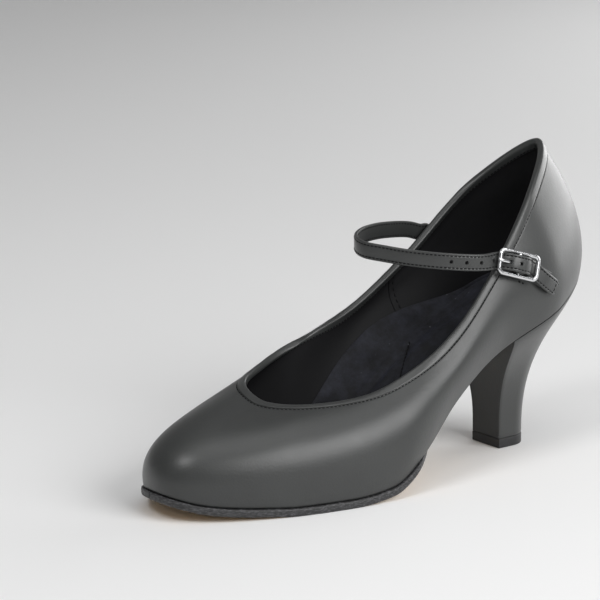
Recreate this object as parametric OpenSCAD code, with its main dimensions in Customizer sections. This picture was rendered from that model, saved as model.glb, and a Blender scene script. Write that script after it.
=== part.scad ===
// Character-style dance shoe for the left foot: a low-cut upper with an instep strap and a flared heel.
// Millimetres. The toe points to -Y, the outer side of the foot is +X, and the origin is the centre of
// the heel's tread on the ground.

/* [Sole] */
// Thickness of the outsole under the ball of the foot
sole_t = 3.5; // [3:0.1:3.5]
// Thickness of the outsole under the waist
waist_sole_t = 1.8; // [1.5:0.1:2.2]
// How far the sole edge stands out past the upper
sole_edge = 1.2; // [1:0.1:2.5]

/* [Upper] */
// Thickness of the upper leather
upper_t = 1.1; // [0.9:0.1:1.2]
// Thickness of the lining
lining_t = 0.7; // [0.5:0.1:0.9]
// Thickness of the toe puff and the heel counter
stiffener_t = 0.65; // [0.5:0.05:0.7]
// Width of the lasted margin turned under the insole
margin_w = 12; // [10:1:13]
// Depth of the binding on the outside of the topline
binding_w = 3.8; // [3:0.1:5]
// Thickness of the binding leather
binding_t = 0.5; // [0.4:0.05:0.6]

/* [Foot bed] */
// Thickness of the insole board
board_t = 2; // [1.5:0.1:2.2]
// Thickness of the foam under the sock
foam_t = 2; // [1.5:0.1:2.5]
// Thickness of the sock cover
sock_t = 0.8; // [0.6:0.1:1]

/* [Heel] */
// Radius of the round back of the heel's tread
heel_r = 9.4; // [9:0.1:10]
// Length of the straight sides of the tread, in front of its round back
heel_side = 9; // [8:0.1:10]
// Thickness of the replaceable top piece
top_piece_t = 4.6; // [4:0.1:5]
// Thickness of the leather that covers the heel
cover_t = 0.8; // [0.6:0.1:0.8]

/* [Strap] */
// Width of the strap
strap_w = 7.5; // [7:0.1:7.6]
// Thickness of the strap's outer ply
strap_t = 0.8; // [0.7:0.05:0.8]
// Thickness of the strap's lining ply
strap_lining_t = 0.65; // [0.5:0.05:0.65]
// Distance between the punched holes
hole_pitch = 6.9; // [6.5:0.1:7]
// Diameter of the punched holes
hole_d = 1.8; // [1.5:0.1:2]

/* [Buckle] */
// Length of the buckle along the strap
buckle_l = 22; // [21.8:0.1:22.4]
// Width of the buckle across the strap
buckle_w = 12.3; // [12.2:0.1:12.6]
// Width of the buckle's bars
bar_w = 1.9; // [1.7:0.1:2]
// Thickness of the buckle's bars
bar_t = 1.6; // [1.4:0.1:1.6]
// Diameter of the centre bar
pin_d = 1.5; // [1.4:0.1:1.6]

/* [Hidden] */
$fn = 48;

leather = "#262628";
gap = 0.05;            // between the glued layers
bed_gap = 0.35;        // between the foot bed and the upper's margin

// The last is given by 16 ribs round the shoe: rib 0 at the toe, 1 to 7 back along the outer side,
// 8 at the back of the heel, and 9 to 15 forward along the inner side. Each rib is a cubic curve
// from the feather edge, where the upper turns under the foot, up to the topline.
// Columns: feather x, y; topline x, y, z; rise and lean of the curve as it leaves the feather edge;
// reach and drop of the curve below the topline.
RIBS = [
    [ -5.0, -191.5,   -7.0, -139.0,  46.5,  22.0, 4.0, 32.5,  6.0],
    [ 11.5, -186.5,    5.0, -137.0,  42.8,  22.0, 5.0, 29.5,  5.0],
    [ 26.5, -161.5,   17.5, -124.0,  42.3,  22.0, 5.0, 25.0,  5.0],
    [ 37.5, -125.5,   26.0, -103.0,  44.0,  22.0, 5.0, 19.0,  7.0],
    [ 41.0,  -90.0,   29.5,  -84.5,  49.5,  22.0, 5.0, 13.0, 10.0],
    [ 34.0,  -57.0,   30.5,  -60.0,  61.5,  20.0, 5.0,  8.0, 12.0],
    [ 29.0,  -27.0,   29.0,  -36.5,  82.0,  18.5, 6.0,  8.0, 14.5],
    [ 28.5,   10.0,   22.0,   -3.5, 119.0,  18.5, 5.5, 10.0, 16.5],
    [  4.5,   40.0,   -2.0,   22.5, 138.0,  21.0, 5.5, 12.5, 18.5],
    [-20.5,   10.0,  -24.5,    1.0, 117.5,  18.5, 5.5,  9.5, 16.5],
    [-19.5,  -28.0,  -28.5,  -33.0,  88.5,  18.0, 7.0,  7.5, 14.5],
    [-19.0,  -62.5,  -30.5,  -60.5,  69.5,  20.0, 8.0,  6.5, 12.0],
    [-28.0,  -99.0,  -30.0,  -85.0,  60.0,  22.0, 5.0, 10.5, 10.5],
    [-39.0, -127.0,  -29.0, -103.0,  55.0,  21.5, 5.0, 14.5, 10.5],
    [-36.0, -158.0,  -24.5, -119.0,  51.0,  21.5, 5.0, 19.5, 10.5],
    [-23.0, -182.5,  -17.0, -132.5,  48.8,  22.0, 5.0, 25.5, 10.5]];
RIB_N = len(RIBS);
HALF = RIB_N / 2;
// Height of the feather edge along the shoe: toe spring, flat ball, arch and heel seat
SEAT = [[-200, 14.5], [-177, 6.8], [-155, 4.5], [-140, sole_t], [-117, sole_t], [-97, 5.5],
    [-76, 17.5], [-54, 35.5], [-33, 48.5], [-11, 58.5], [10, 66.5], [35, 75], [45, 78]];

// ---- Curves ----
function mix(a, b, t) = a + (b - a) * t;
function smooth(t) = let (c = min(1, max(0, t))) c * c * (3 - 2 * c);
function unit(v) = v / norm(v);
function spline(a, b, c, d, t) =
    0.5 * (2 * b + (c - a) * t + (2 * a - 5 * b + 4 * c - d) * t * t + (3 * b - a - 3 * c + d) * t * t * t);
// A closed list of points p, read at u along it
function ring_at(p, u) = let (n = len(p), i = floor(u), t = u - i)
    spline(p[(i - 1 + n) % n], p[(i + n) % n], p[(i + n + 1) % n], p[(i + n + 2) % n], t);
// An open list of points p, read at u along it
function line_at(p, u) = let (n = len(p), i = min(n - 2, max(0, floor(u))), t = u - i)
    spline(p[max(0, i - 1)], p[i], p[i + 1], p[min(n - 1, i + 2)], t);

// ---- The last ----
function slope(i) = let (a = (SEAT[i][1] - SEAT[i - 1][1]) / (SEAT[i][0] - SEAT[i - 1][0]),
    b = (SEAT[i + 1][1] - SEAT[i][1]) / (SEAT[i + 1][0] - SEAT[i][0])) a * b <= 0 ? 0 : 2 * a * b / (a + b);
SLOPES = [for (i = [0:len(SEAT) - 1]) i == 0 ? -0.45 : i == len(SEAT) - 1 ? 0.3 : slope(i)];
function seat_z(y) = let (i = max([for (k = [0:len(SEAT) - 2]) SEAT[k][0] <= y || k == 0 ? k : 0]),
    w = SEAT[i + 1][0] - SEAT[i][0], t = (y - SEAT[i][0]) / w)
    SEAT[i][1] * (1 + 2 * t) * (1 - t) * (1 - t) + SLOPES[i] * w * t * (1 - t) * (1 - t)
    + SEAT[i + 1][1] * t * t * (3 - 2 * t) + SLOPES[i + 1] * w * t * t * (t - 1);

FEATHER = [for (r = RIBS) [r[0], r[1]]];
// Outward direction in plan at rib i
function rib_out(i) = let (d = FEATHER[(i + 1) % RIB_N] - FEATHER[(i + RIB_N - 1) % RIB_N])
    unit([d.y, -d.x, 0]);
// Plan direction in which the curve comes down from the topline
function rib_fall(i) = let (f = RIBS[i], d = [f[0] - f[2], f[1] - f[3], 0])
    norm(d) > 12 ? unit(d) : rib_out(i);
HANDLE = [for (i = [0:RIB_N - 1]) RIBS[i][5] * [0, 0, 1] + RIBS[i][6] * rib_out(i)];
TOP = [for (r = RIBS) [r[2], r[3], r[4]]];
SHOULDER = [for (i = [0:RIB_N - 1]) TOP[i] + RIBS[i][7] * rib_fall(i) - [0, 0, RIBS[i][8]]];

function feather(u) = let (p = ring_at(FEATHER, u)) [p.x, p.y, seat_z(p.y)];
// Outward direction in plan at u on the feather edge
function out(u) = let (d = ring_at(FEATHER, u + 0.05) - ring_at(FEATHER, u - 0.05)) unit([d.y, -d.x, 0]);
// The outer face of the upper, v = 0 at the feather edge and 1 at the topline
function last(u, v) = let (f = feather(u))
    pow(1 - v, 3) * f + 3 * v * pow(1 - v, 2) * (f + ring_at(HANDLE, u))
    + 3 * v * v * (1 - v) * ring_at(SHOULDER, u) + v * v * v * ring_at(TOP, u);
function face(u, v) =
    unit(cross(last(u + 0.05, v) - last(u - 0.05, v), last(u, v + 0.02) - last(u, v - 0.02)));
// A point at depth d inside the outer face
function wall(u, v, d) = last(u, v) - d * face(u, v);
// A point on the foot's underside, inset from the feather edge and raised above it
function bed(u, inset, up) = let (p = feather(u) - inset * out(u)) [p.x, p.y, seat_z(p.y) + up];

// ---- Solids ----
// A solid from a list of rings of equal length. A looped one closes on itself. The ends of an open
// one are closed with strips between the first and second half of the ring. The two halves are cut
// into triangles along the same diagonals, so that neighbouring layers keep their gap.
module loft(rings, loop = false) {
    m = len(rings);
    n = len(rings[0]);
    sides = [for (i = [0:(loop ? m - 1 : m - 2)], j = [0:n - 1])
        let (k = (j + 1) % n, next = ((i + 1) % m) * n,
            a = i * n + j, b = i * n + k, c = next + k, d = next + j)
        each j < n / 2 ? [[a, b, c], [a, c, d]] : [[a, b, d], [b, c, d]]];
    caps = loop ? [] : [for (j = [0:n / 2 - 2]) let (e = (m - 1) * n)
        each [[j, n - 1 - j, n - 2 - j], [j, n - 2 - j, j + 1],
            [e + j, e + n - 2 - j, e + n - 1 - j], [e + j, e + j + 1, e + n - 2 - j]]];
    polyhedron([for (r = rings) each r], concat(sides, caps));
}
function steps(a, b, n) = [for (i = [0:n]) mix(a, b, i / n)];
// A sheet of the shoe's wall between two depths, on the upper's own grid
rib_steps = 4;         // steps to a rib
levels = 12;           // steps up a rib
module sheet(u0, u1, v0, v1, outer, t) {
    loft([for (i = [u0 * rib_steps:u1 * rib_steps]) let (u = i / rib_steps) concat(
        [for (j = [v0:v1]) wall(u, j / levels, outer(u, j / levels))],
        [for (j = [v1:-1:v0]) wall(u, j / levels, outer(u, j / levels) + t)])]);
}
// A layer of the foot bed between ribs u0 and u1 of both sides
module layer(u0, u1, n, inset, low, high) {
    loft([for (u = steps(u0, u1, n)) [bed(u, inset, low), bed(u, inset, high),
        bed(RIB_N - u, inset, high), bed(RIB_N - u, inset, low)]]);
}
tip = 0.02;            // keeps the two sides of a layer apart at the toe and the heel

// ---- Upper ----
module upper() color(leather) {
    loft([for (i = [0:RIB_N * rib_steps - 1]) let (u = i / rib_steps) concat(
        [bed(u, margin_w, 0)], [for (j = [0:levels]) last(u, j / levels)],
        [for (j = [levels:-1:1]) wall(u, j / levels, upper_t)],
        [let (c = wall(u, 0, upper_t)) [c.x, c.y, feather(u).z + upper_t]],
        [bed(u, margin_w, upper_t)])], loop = true);
}

// How far a stiffener of half-width w ribs about rib c reaches at u, v: 1 over it, 0 well past it
function over(u, v, c, w, top) = smooth(1.2 - (abs((u + HALF - c + RIB_N) % RIB_N - HALF) - w) / 0.5)
    * smooth(1.2 - (v - top) / 0.2);
puff_w = 2.25;         // half-width of the toe puff, in ribs
puff_top = 7;          // how far up the ribs it reaches, in levels
counter_w = 2;
counter_top = 8;
function lining_depth(u, v) = upper_t + gap
    + (stiffener_t + gap) * max(over(u, v, 0, puff_w, puff_top / levels),
        over(u, v, HALF, counter_w, counter_top / levels));
function behind_upper(u, v) = upper_t + gap;
foot_level = 1;        // the linings and stiffeners start just above the lasted margin
seam_u = 5.75;         // the two linings meet here, and at the same place on the inner side

module toe_puff() color("#b9ab8c")
    sheet(-puff_w, puff_w, foot_level, puff_top, function(u, v) behind_upper(u, v), stiffener_t);
module heel_counter() color("#a89878")
    sheet(HALF - counter_w, HALF + counter_w, foot_level, counter_top,
        function(u, v) behind_upper(u, v), stiffener_t);
module vamp_lining() color("#1d1d22")
    sheet(-seam_u, seam_u, foot_level, levels, function(u, v) lining_depth(u, v), lining_t);
// The quarter lining starts a hair behind the vamp lining's edge
function behind_seam(u) = max(seam_u + 0.01, min(RIB_N - seam_u - 0.01, u));
module quarter_lining() color("#1d1d22")
    loft([for (i = [seam_u * rib_steps:(RIB_N - seam_u) * rib_steps])
        let (u = behind_seam(i / rib_steps)) concat(
        [for (j = [foot_level:levels]) wall(u, j / levels, lining_depth(u, j / levels))],
        [for (j = [levels:-1:foot_level]) wall(u, j / levels, lining_depth(u, j / levels) + lining_t)])]);

// Binding: a strip folded over the topline. s runs down the wall, n outward.
function edge_point(u, s, n) =
    let (reach = norm(ring_at(TOP, u) - ring_at(SHOULDER, u)) * 3, v = 1 - s / reach)
    wall(u, v, -n);
stack_t = upper_t + gap + lining_t;
module topline_binding() color("#1b1b1d") {
    fit = 0.15;        // room between the binding and the edge that it wraps
    inner = stack_t + fit;
    ring = concat(
        [[binding_w, fit + binding_t], [0, fit + binding_t], [-0.65, -0.1], [-0.65, 0.1 - inner],
            [0, -inner - binding_t], [binding_w - 1, -inner - binding_t]],
        [[binding_w - 1, -inner], [0, -inner], [-0.2, 0.3 - inner],
            [-0.2, fit - 0.3], [0, fit], [binding_w, fit]]);
    loft([for (i = [0:RIB_N * rib_steps - 1]) [for (p = ring) edge_point(i / rib_steps, p[0], p[1])]],
        loop = true);
}

// ---- Foot bed and sole ----
board_low = upper_t + bed_gap;
board_high = board_low + board_t;
foam_high = board_high + gap + foam_t;
wall_inset = stack_t + stiffener_t + 2 * gap + 0.3;  // clear of the linings at the foot of the wall
module insole_board() color("#c2a878")
    layer(tip, HALF - tip, 32, wall_inset, board_low, board_high);
module sock_foam() color("#d8cfa8")
    layer(tip, HALF - tip, 32, wall_inset, board_high + gap, foam_high);
module sock_cover() color("#191b26")
    layer(tip, HALF - tip, 32, wall_inset - 0.8, foam_high + gap, foam_high + gap + sock_t);
module bottom_filler() color("#8a6b48")
    layer(0.6, 4, 16, margin_w + 1, gap, upper_t);

// The outsole stands out round the forepart and tucks in under the waist
function sole_inset(y) = mix(-sole_edge, 8, smooth((y + 84) / 28));
function sole_depth(y) = mix(sole_t, waist_sole_t, smooth((y + 88) / 32));
sole_end = 6.22;       // the sole ends at the heel's breast
module outsole() color("#c9a878") {
    loft([for (u = steps(tip, sole_end, 36))
        let (l = sole_inset(feather(u).y), r = sole_inset(feather(RIB_N - u).y),
        a = bed(u, l, -gap), b = bed(RIB_N - u, r, -gap))
        [[a.x, a.y, max(0, a.z + gap - sole_depth(a.y))], a, b,
            [b.x, b.y, max(0, b.z + gap - sole_depth(b.y))]]]);
}

shank_x = 5;           // middle of the steel shank
shank_w = 11;
shank_t = 0.9;
shank_y = [-80, 4];
module shank() color("#8f959c")
    loft([for (y = steps(shank_y[0], shank_y[1], 20)) let (w = shank_w / 2, z = seat_z(y) + 0.1)
        [[shank_x + w, y, z], [shank_x + w, y, z + shank_t],
            [shank_x - w, y, z + shank_t], [shank_x - w, y, z]]]);
function seat_angle(y) = atan((seat_z(y + 1) - seat_z(y - 1)) / 2);
module shank_rivets() color("#b08d4a")
    for (y = [shank_y[0] + 7, shank_y[1] - 20]) let (a = seat_angle(y))
        translate([shank_x, y, seat_z(y)]) rotate([a, 0, 0]) translate([0, 0, 0.15]) {
            cylinder(d = 3, h = board_high * cos(a) - 0.3);
            translate([0, 0, board_high * cos(a) - 0.7]) cylinder(d = 5, h = 0.4);
        }

// ---- Heel ----
breast_u = 6.27;       // rib of the breast's corner on the outer side
// Outline of the tread: straight side, round back, straight side. k runs from 0 to 1 along it.
function tread(k, inset, front) = let (r = heel_r - inset, side = heel_side - front, arc = PI * r,
    s = k * (2 * side + arc)) s < side ? [r, s - side] : s > side + arc ? [-r, side + arc - s]
    : let (a = (s - side) / r * 180 / PI) [r * cos(a), r * sin(a)];
heel_low = top_piece_t + 0.1;
// The heel's surface, t = 0 at the top piece and 1 at the seat
function heel(k, t, inset, front) = let (b = breast_u + front / 35, u = b + k * (RIB_N - 2 * b),
    seat = bed(u, inset, -gap), foot = tread(k, inset, front), back = 1 - abs(2 * k - 1),
    w = 1 - pow(1 - pow(t, 3 - 0.6 * back), 1.5 - 0.25 * back))
    [mix(foot.x, seat.x, w), mix(foot.y, seat.y, w), mix(heel_low, seat.z, t)];
heel_n = 31;
heel_rings = 18;
module heel_block() color("#3a3a3c")
    loft([for (t = steps(0, 1, heel_rings))
        [for (k = steps(1, 0, heel_n)) heel(k, t, cover_t + gap, cover_t + gap)]]);
module heel_cover() color(leather)
    loft([for (t = steps(0, 1, heel_rings)) concat(
        [for (k = steps(1, 0, heel_n)) heel(k, t, 0, cover_t + gap)],
        [for (k = steps(0, 1, heel_n)) heel(k, t, cover_t, cover_t + gap)])]);
module breast_cover() color("#1c1c1e")
    loft([for (t = steps(0, 1, heel_rings))
        [heel(1, t, 0, 0), heel(1, t, 0, cover_t), heel(0, t, 0, cover_t), heel(0, t, 0, 0)]]);
module top_piece() color("#161617")
    linear_extrude(top_piece_t) {
        circle(r = heel_r, $fn = 96);
        translate([-heel_r, -heel_side]) square([2 * heel_r, heel_side]);
    }
module top_piece_pins() color("#9aa0a6")
    for (y = [-5, 4]) translate([0, y, 1.5]) cylinder(d = 2.4, h = 16);
module heel_screw() color("#9aa0a6")
    translate([3, 0, seat_z(0) + board_high - 1.9]) {
        translate([0, 0, -2.5]) cylinder(d1 = 4, d2 = 9, h = 2.5);
        translate([0, 0, -36]) cylinder(d = 4, h = 33.6);
    }
nail_at = [[-7, -5], [15, -5], [-7, 11], [15, 11], [4, 20]];
module heel_nails() color("#9aa0a6")
    for (p = nail_at) translate([p.x, p.y, seat_z(p.y) + board_high - 0.9]) {
        translate([0, 0, -0.6]) cylinder(d = 4, h = 0.6);
        translate([0, 0, -12]) cylinder(d = 1.8, h = 11.5);
    }

// ---- Buckle ----
// Its own frame: x along the strap towards the heel, y across the strap, z away from the foot
buckle_at = [34, -19.8, 92.2];
buckle_turn = [76, 18, 80];
module at_buckle() translate(buckle_at) rotate(buckle_turn) children();
function turn_x(p, a) = [p.x, p.y * cos(a) - p.z * sin(a), p.y * sin(a) + p.z * cos(a)];
function turn_y(p, a) = [p.x * cos(a) + p.z * sin(a), p.y, -p.x * sin(a) + p.z * cos(a)];
function turn_z(p, a) = [p.x * cos(a) - p.y * sin(a), p.x * sin(a) + p.y * cos(a), p.z];
function buckle_dir(p) = turn_z(turn_y(turn_x(p, buckle_turn.x), buckle_turn.y), buckle_turn.z);
function buckle_point(p) = buckle_at + buckle_dir(p);
module rounded(l, w, r) for (x = [-1, 1], y = [-1, 1]) {
    translate([x * (l / 2 - r), y * (w / 2 - r)]) circle(r = r);
    if (x == y) square(x > 0 ? [l, w - 2 * r] : [l - 2 * r, w], center = true);
}
pin_run = 0.05;        // radial running clearance of what turns on the centre bar
module buckle_frame() color("#c8ccd0")
    at_buckle() difference() {
        translate([0, 0, -bar_t / 2]) linear_extrude(bar_t) difference() {
            rounded(buckle_l, buckle_w, 3);
            rounded(buckle_l - 2 * bar_w, buckle_w - 2 * bar_w, 1.4);
        }
        translate([0, buckle_w / 2 + 1, 0]) rotate([90, 0, 0]) cylinder(d = pin_d, h = buckle_w + 2);
    }
module buckle_pin() color("#c8ccd0")
    at_buckle() translate([0, buckle_w / 2 - 0.1, 0]) rotate([90, 0, 0])
        cylinder(d = pin_d, h = buckle_w - 0.2);
prong_w = 1.5;         // width and thickness of the prong
prong_t = 1;
eye_w = 2.2;           // width of the prong's eye
eye_r = pin_d / 2 + 0.75;
prong_low = bar_t / 2 + 0.04;      // underside of the prong where it rests on the front bar
front_bar = (buckle_l - bar_w) / 2;
module prong() color("#c8ccd0") at_buckle() {
    difference() {
        union() {
            translate([0, eye_w / 2, 0]) rotate([90, 0, 0]) cylinder(r = eye_r, h = eye_w);
            translate([0, prong_w / 2, 0]) rotate([90, 0, 0]) linear_extrude(prong_w) polygon([
                [0, 0.3], [-front_bar + 2.4, prong_low], [-front_bar - 1.4, prong_low],
                [-front_bar - 1.7, prong_low + 0.3], [-front_bar - 1.5, prong_low + prong_t * 0.8],
                [-front_bar + 2.4, prong_low + prong_t], [0, eye_r - 0.1]]);
        }
        translate([0, eye_w, 0]) rotate([90, 0, 0]) cylinder(d = pin_d + 2 * pin_run, h = 2 * eye_w);
    }
}
module rod(a, b, d) translate(a) rotate([0, acos((b - a).z / norm(b - a)), atan2((b - a).y, (b - a).x)])
    cylinder(d = d, h = norm(b - a), $fn = 16);

// ---- Strap ----
// Each stop on its route: the middle of the strap, and the direction across it (up)
bend_up = [0, 0, 1];
buckle_up = buckle_dir([0, 1, 0]);
tail_up = [-0.12, 0.66, 0.74];
ROUTE = [
    [wall(9.47, 0.65, -1.3), [0.1, 0.65, 0.75]],
    [wall(9.53, 0.78, -1.4), [0.1, 0.6, 0.78]],
    [wall(9.60, 0.90, -1.8), [0.15, 0.5, 0.85]],
    [[-31.2, -23.5, 96.4], [0.15, 0.4, 0.9]],
    [[-31, -30, 98.4], [0.1, 0.2, 0.97]],
    [[-29.6, -40, 100], bend_up],
    [[-26.6, -52, 101.3], bend_up],
    [[-21.6, -64, 101.8], bend_up],
    [[-14.5, -73.2, 101.2], bend_up],
    [[-5, -76.2, 100.2], bend_up],
    [[5, -71.5, 99.2], bend_up],
    [[14, -65.5, 98.2], bend_up],
    [[22.5, -56, 97], bend_up],
    [[28.3, -45.5, 95.8], bend_up],
    [[30.4, -37, 95], bend_up],
    [buckle_point([-front_bar, 0, -2.3]), buckle_up],
    [buckle_point([-7.4, 0, -1.3]), buckle_up],
    [buckle_point([-4.6, 0, 1.3]), buckle_up],
    [buckle_point([-2.3, 0, 2.4]), buckle_up],
    [buckle_point([0, 0, 2.6]), buckle_up],
    [buckle_point([2.3, 0, 2.4]), buckle_up],
    [buckle_point([4.6, 0, 1.3]), buckle_up],
    [buckle_point([7.4, -0.1, -1.3]), buckle_up],
    [buckle_point([front_bar, -0.6, -2.35]), mix(buckle_up, tail_up, 0.3)],
    [[35.1, -4.4, 82.4], tail_up],
    [[34, 2.1, 77.9], tail_up]];
PLACES = [for (r = ROUTE) r[0]];
ACROSS = [for (r = ROUTE) r[1]];
fine = 8;              // samples between two stops
TRACK = [for (i = [0:fine * (len(ROUTE) - 1)]) line_at(PLACES, i / fine)];
RUN = [for (i = 0, s = 0; i < len(TRACK);
    i = i + 1, s = s + (i < len(TRACK) ? norm(TRACK[i] - TRACK[i - 1]) : 0)) s];
strap_l = RUN[len(RUN) - 1];
STOP_BY_RUN = [for (i = [0:len(RUN) - 1]) [RUN[i], i / fine]];
// Position, and the directions along, across and out of the strap, at length s along it
function strap_at(s) = let (u = lookup(s, STOP_BY_RUN), p = line_at(PLACES, u),
    along = unit(line_at(PLACES, u + 0.02) - line_at(PLACES, u - 0.02)),
    a = line_at(ACROSS, u), across = unit(a - (a * along) * along)) [p, along, across, cross(along, across)];
function strap_section(s, n0, n1) = let (f = strap_at(s), end = min(s, strap_l - s),
    w = strap_w / 2 * (end > 2 ? 1 : mix(0.72, 1, end / 2)))
    [f[0] - w * f[2] + n0 * f[3], f[0] - w * f[2] + n1 * f[3],
        f[0] + w * f[2] + n1 * f[3], f[0] + w * f[2] + n0 * f[3]];
strap_steps = 84;
ply_split = (strap_lining_t - strap_t) / 2;    // the glue line, from the middle of the strap
hole_zero = RUN[fine * 17];                    // length of strap up to the hole in use
module ply(n0, n1) difference() {
    loft([for (i = [0:strap_steps]) strap_section(strap_l * i / strap_steps, n0, n1)]);
    for (i = [-4, -3, -2, -1, 1]) let (f = strap_at(hole_zero - 3 + i * hole_pitch))
        rod(f[0] - 3 * f[3], f[0] + 3 * f[3], hole_d);
    at_buckle() translate([-4.7, 0, -1]) linear_extrude(6) {
        square([4.6, hole_d], center = true);
        for (x = [-2.3, 2.3]) translate([x, 0]) circle(d = hole_d, $fn = 16);
    }
}
module strap() color(leather) ply(ply_split + 0.01, ply_split + 0.01 + strap_t);
module strap_lining() color("#1d1d22") ply(ply_split - 0.01 - strap_lining_t, ply_split - 0.01);

// ---- Chape ----
// A tab folded round the centre bar, with a notch for the prong, and sewn to the outer side
chape_w = 8.4;
chape_t = 0.6;
fold_r = pin_d / 2 + pin_run;
chape_leg = 2.4;         // the fold's two legs behind the centre bar
chape_notch = eye_w + 0.6;
CHAPE = [[buckle_point([chape_leg - 0.5, 0, -fold_r - chape_t / 2]), buckle_up],
    [wall(6.58, 0.60, -0.45), [-0.15, 0.45, 0.87]],
    [wall(6.66, 0.46, -0.7), [-0.15, 0.55, 0.82]],
    [wall(6.72, 0.38, -0.7), [-0.12, 0.6, 0.79]]];
CHAPE_PLACES = [for (c = CHAPE) c[0]];
CHAPE_ACROSS = [for (c = CHAPE) c[1]];
function chape_section(u) = let (p = line_at(CHAPE_PLACES, u),
    along = unit(line_at(CHAPE_PLACES, u + 0.02) - line_at(CHAPE_PLACES, u - 0.02)),
    a = line_at(CHAPE_ACROSS, u), across = unit(a - (a * along) * along) * chape_w / 2,
    off = cross(along, unit(across)) * chape_t / 2)
    [p - across - off, p - across + off, p + across + off, p + across - off];
module chape() color(leather) {
    at_buckle() difference() {
        union() {
            translate([0, chape_w / 2, 0]) rotate([90, 0, 0]) cylinder(r = fold_r + chape_t, h = chape_w);
            for (z = [fold_r, -fold_r - chape_t])
                translate([0, -chape_w / 2, z]) cube([chape_leg, chape_w, chape_t]);
        }
        translate([0, chape_w, 0]) rotate([90, 0, 0]) cylinder(r = fold_r, h = 2 * chape_w);
        translate([0, -chape_w, -fold_r]) cube([9, 2 * chape_w, 2 * fold_r]);
        translate([-5, -chape_notch / 2, -5]) cube([5 + chape_leg - 0.8, chape_notch, 10]);
    }
    loft([for (i = [0:12]) chape_section(i / 4)]);
}

upper();
topline_binding();
vamp_lining();
quarter_lining();
toe_puff();
heel_counter();
insole_board();
sock_foam();
sock_cover();
shank();
shank_rivets();
bottom_filler();
outsole();
heel_block();
heel_cover();
breast_cover();
heel_screw();
heel_nails();
top_piece();
top_piece_pins();
strap();
strap_lining();
chape();
buckle_frame();
buckle_pin();
prong();
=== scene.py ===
"""Looks of the left character dance shoe: leather, linings, padded sock, sole, heel, strap, buckle and stage.

Shapes are worked out in millimetres in the shoe's own frame and turned to metres as each mesh is made.
The toe points to -Y, the outer side of the foot is +X, and the origin is under the middle of the heel.
"""

import math

import bmesh
import bpy
import numpy as np
from bpy.props import FloatProperty, FloatVectorProperty, IntProperty, PointerProperty
from mathutils import Matrix, Vector


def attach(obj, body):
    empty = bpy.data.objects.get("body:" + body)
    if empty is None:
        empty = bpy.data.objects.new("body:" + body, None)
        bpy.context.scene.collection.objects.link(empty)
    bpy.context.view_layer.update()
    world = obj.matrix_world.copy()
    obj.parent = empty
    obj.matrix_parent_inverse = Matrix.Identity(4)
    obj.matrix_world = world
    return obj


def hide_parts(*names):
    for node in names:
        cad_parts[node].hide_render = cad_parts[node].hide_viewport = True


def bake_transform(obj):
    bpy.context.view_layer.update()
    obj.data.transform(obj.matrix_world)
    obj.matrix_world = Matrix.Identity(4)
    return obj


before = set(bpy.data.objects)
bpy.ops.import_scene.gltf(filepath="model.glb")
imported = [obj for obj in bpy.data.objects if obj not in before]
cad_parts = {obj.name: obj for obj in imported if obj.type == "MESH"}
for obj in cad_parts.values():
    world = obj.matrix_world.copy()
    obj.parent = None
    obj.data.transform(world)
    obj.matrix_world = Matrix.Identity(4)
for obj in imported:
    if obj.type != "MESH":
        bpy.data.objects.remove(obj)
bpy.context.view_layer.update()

bl_info = {
    "name": "Character Dance Shoe",
    "version": (1, 0, 0),
    "blender": (4, 5, 0),
    "location": "View3D > Sidebar > Dance Shoe",
    "description": "Builds the visible pieces and finishes of a strapped character dance shoe",
    "category": "Object",
}

MM = 0.001


def linear(code):
    """A six-figure sRGB hex colour as linear RGBA."""
    parts = [int(code[i : i + 2], 16) / 255 for i in (1, 3, 5)]
    return [c / 12.92 if c <= 0.04045 else ((c + 0.055) / 1.055) ** 2.4 for c in parts] + [1.0]


# ---------------------------------------------------------------- sizes and colours


def length(name, about, default):
    return FloatProperty(name=name, description=about, default=default, min=0, unit="LENGTH",
                         subtype="DISTANCE")


def colour(name, about, code):
    return FloatVectorProperty(name=name, description=about, subtype="COLOR", size=3, min=0, max=1,
                               default=linear(code)[:3])


def power(name, about, default):
    return FloatProperty(name=name, description=about, default=default, min=0, unit="POWER")


class ShoeSizes(bpy.types.PropertyGroup):
    """Sizes of the sewn and finished details."""

    binding_width: length("Binding width", "Depth of the binding on the outside of the topline", 0.0038)
    stitch_pitch: length("Stitch pitch", "Distance from one topline stitch to the next", 0.0018)
    stitch_length: length("Stitch length", "Length of the thread that shows in one topline stitch", 0.0013)
    thread_width: length("Thread width", "Width of the sewing thread", 0.0006)
    strap_pitch: length("Strap stitch pitch", "Distance from one strap stitch to the next", 0.0018)
    strap_inset: length("Strap stitch inset", "Distance of the strap's stitches from its edge", 0.0011)
    sock_crown: length("Sock crown", "How far the padded sock rises in its middle", 0.0009)
    steps_round: IntProperty(name="Steps round", description="Steps round the shoe in the fine meshes",
                             default=384, min=64, max=1024)


class ShoeColours(bpy.types.PropertyGroup):
    """Colours of the shoe's materials."""

    leather: colour("Leather", "Upper, heel and strap leather", "#353736")
    leather_deep: colour("Leather, deep", "The darker patches of the same leather", "#2c2d2d")
    lining: colour("Lining", "Linings of the vamp and the quarters", "#0d0d0f")
    sock: colour("Sock", "Cover of the padded sock", "#121319")
    sole: colour("Sole", "Grain of the leather outsole", "#c9ab80")
    sole_edge: colour("Sole edge", "Ink on the outsole's edge", "#252526")
    rubber: colour("Top piece", "Rubber of the heel's top piece", "#141415")
    thread: colour("Thread", "Sewing thread", "#070708")
    metal: colour("Buckle", "Plated finish of the buckle", "#dfe0e2")
    floor: colour("Floor", "Studio floor and backdrop", "#f2f2f2")


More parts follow.
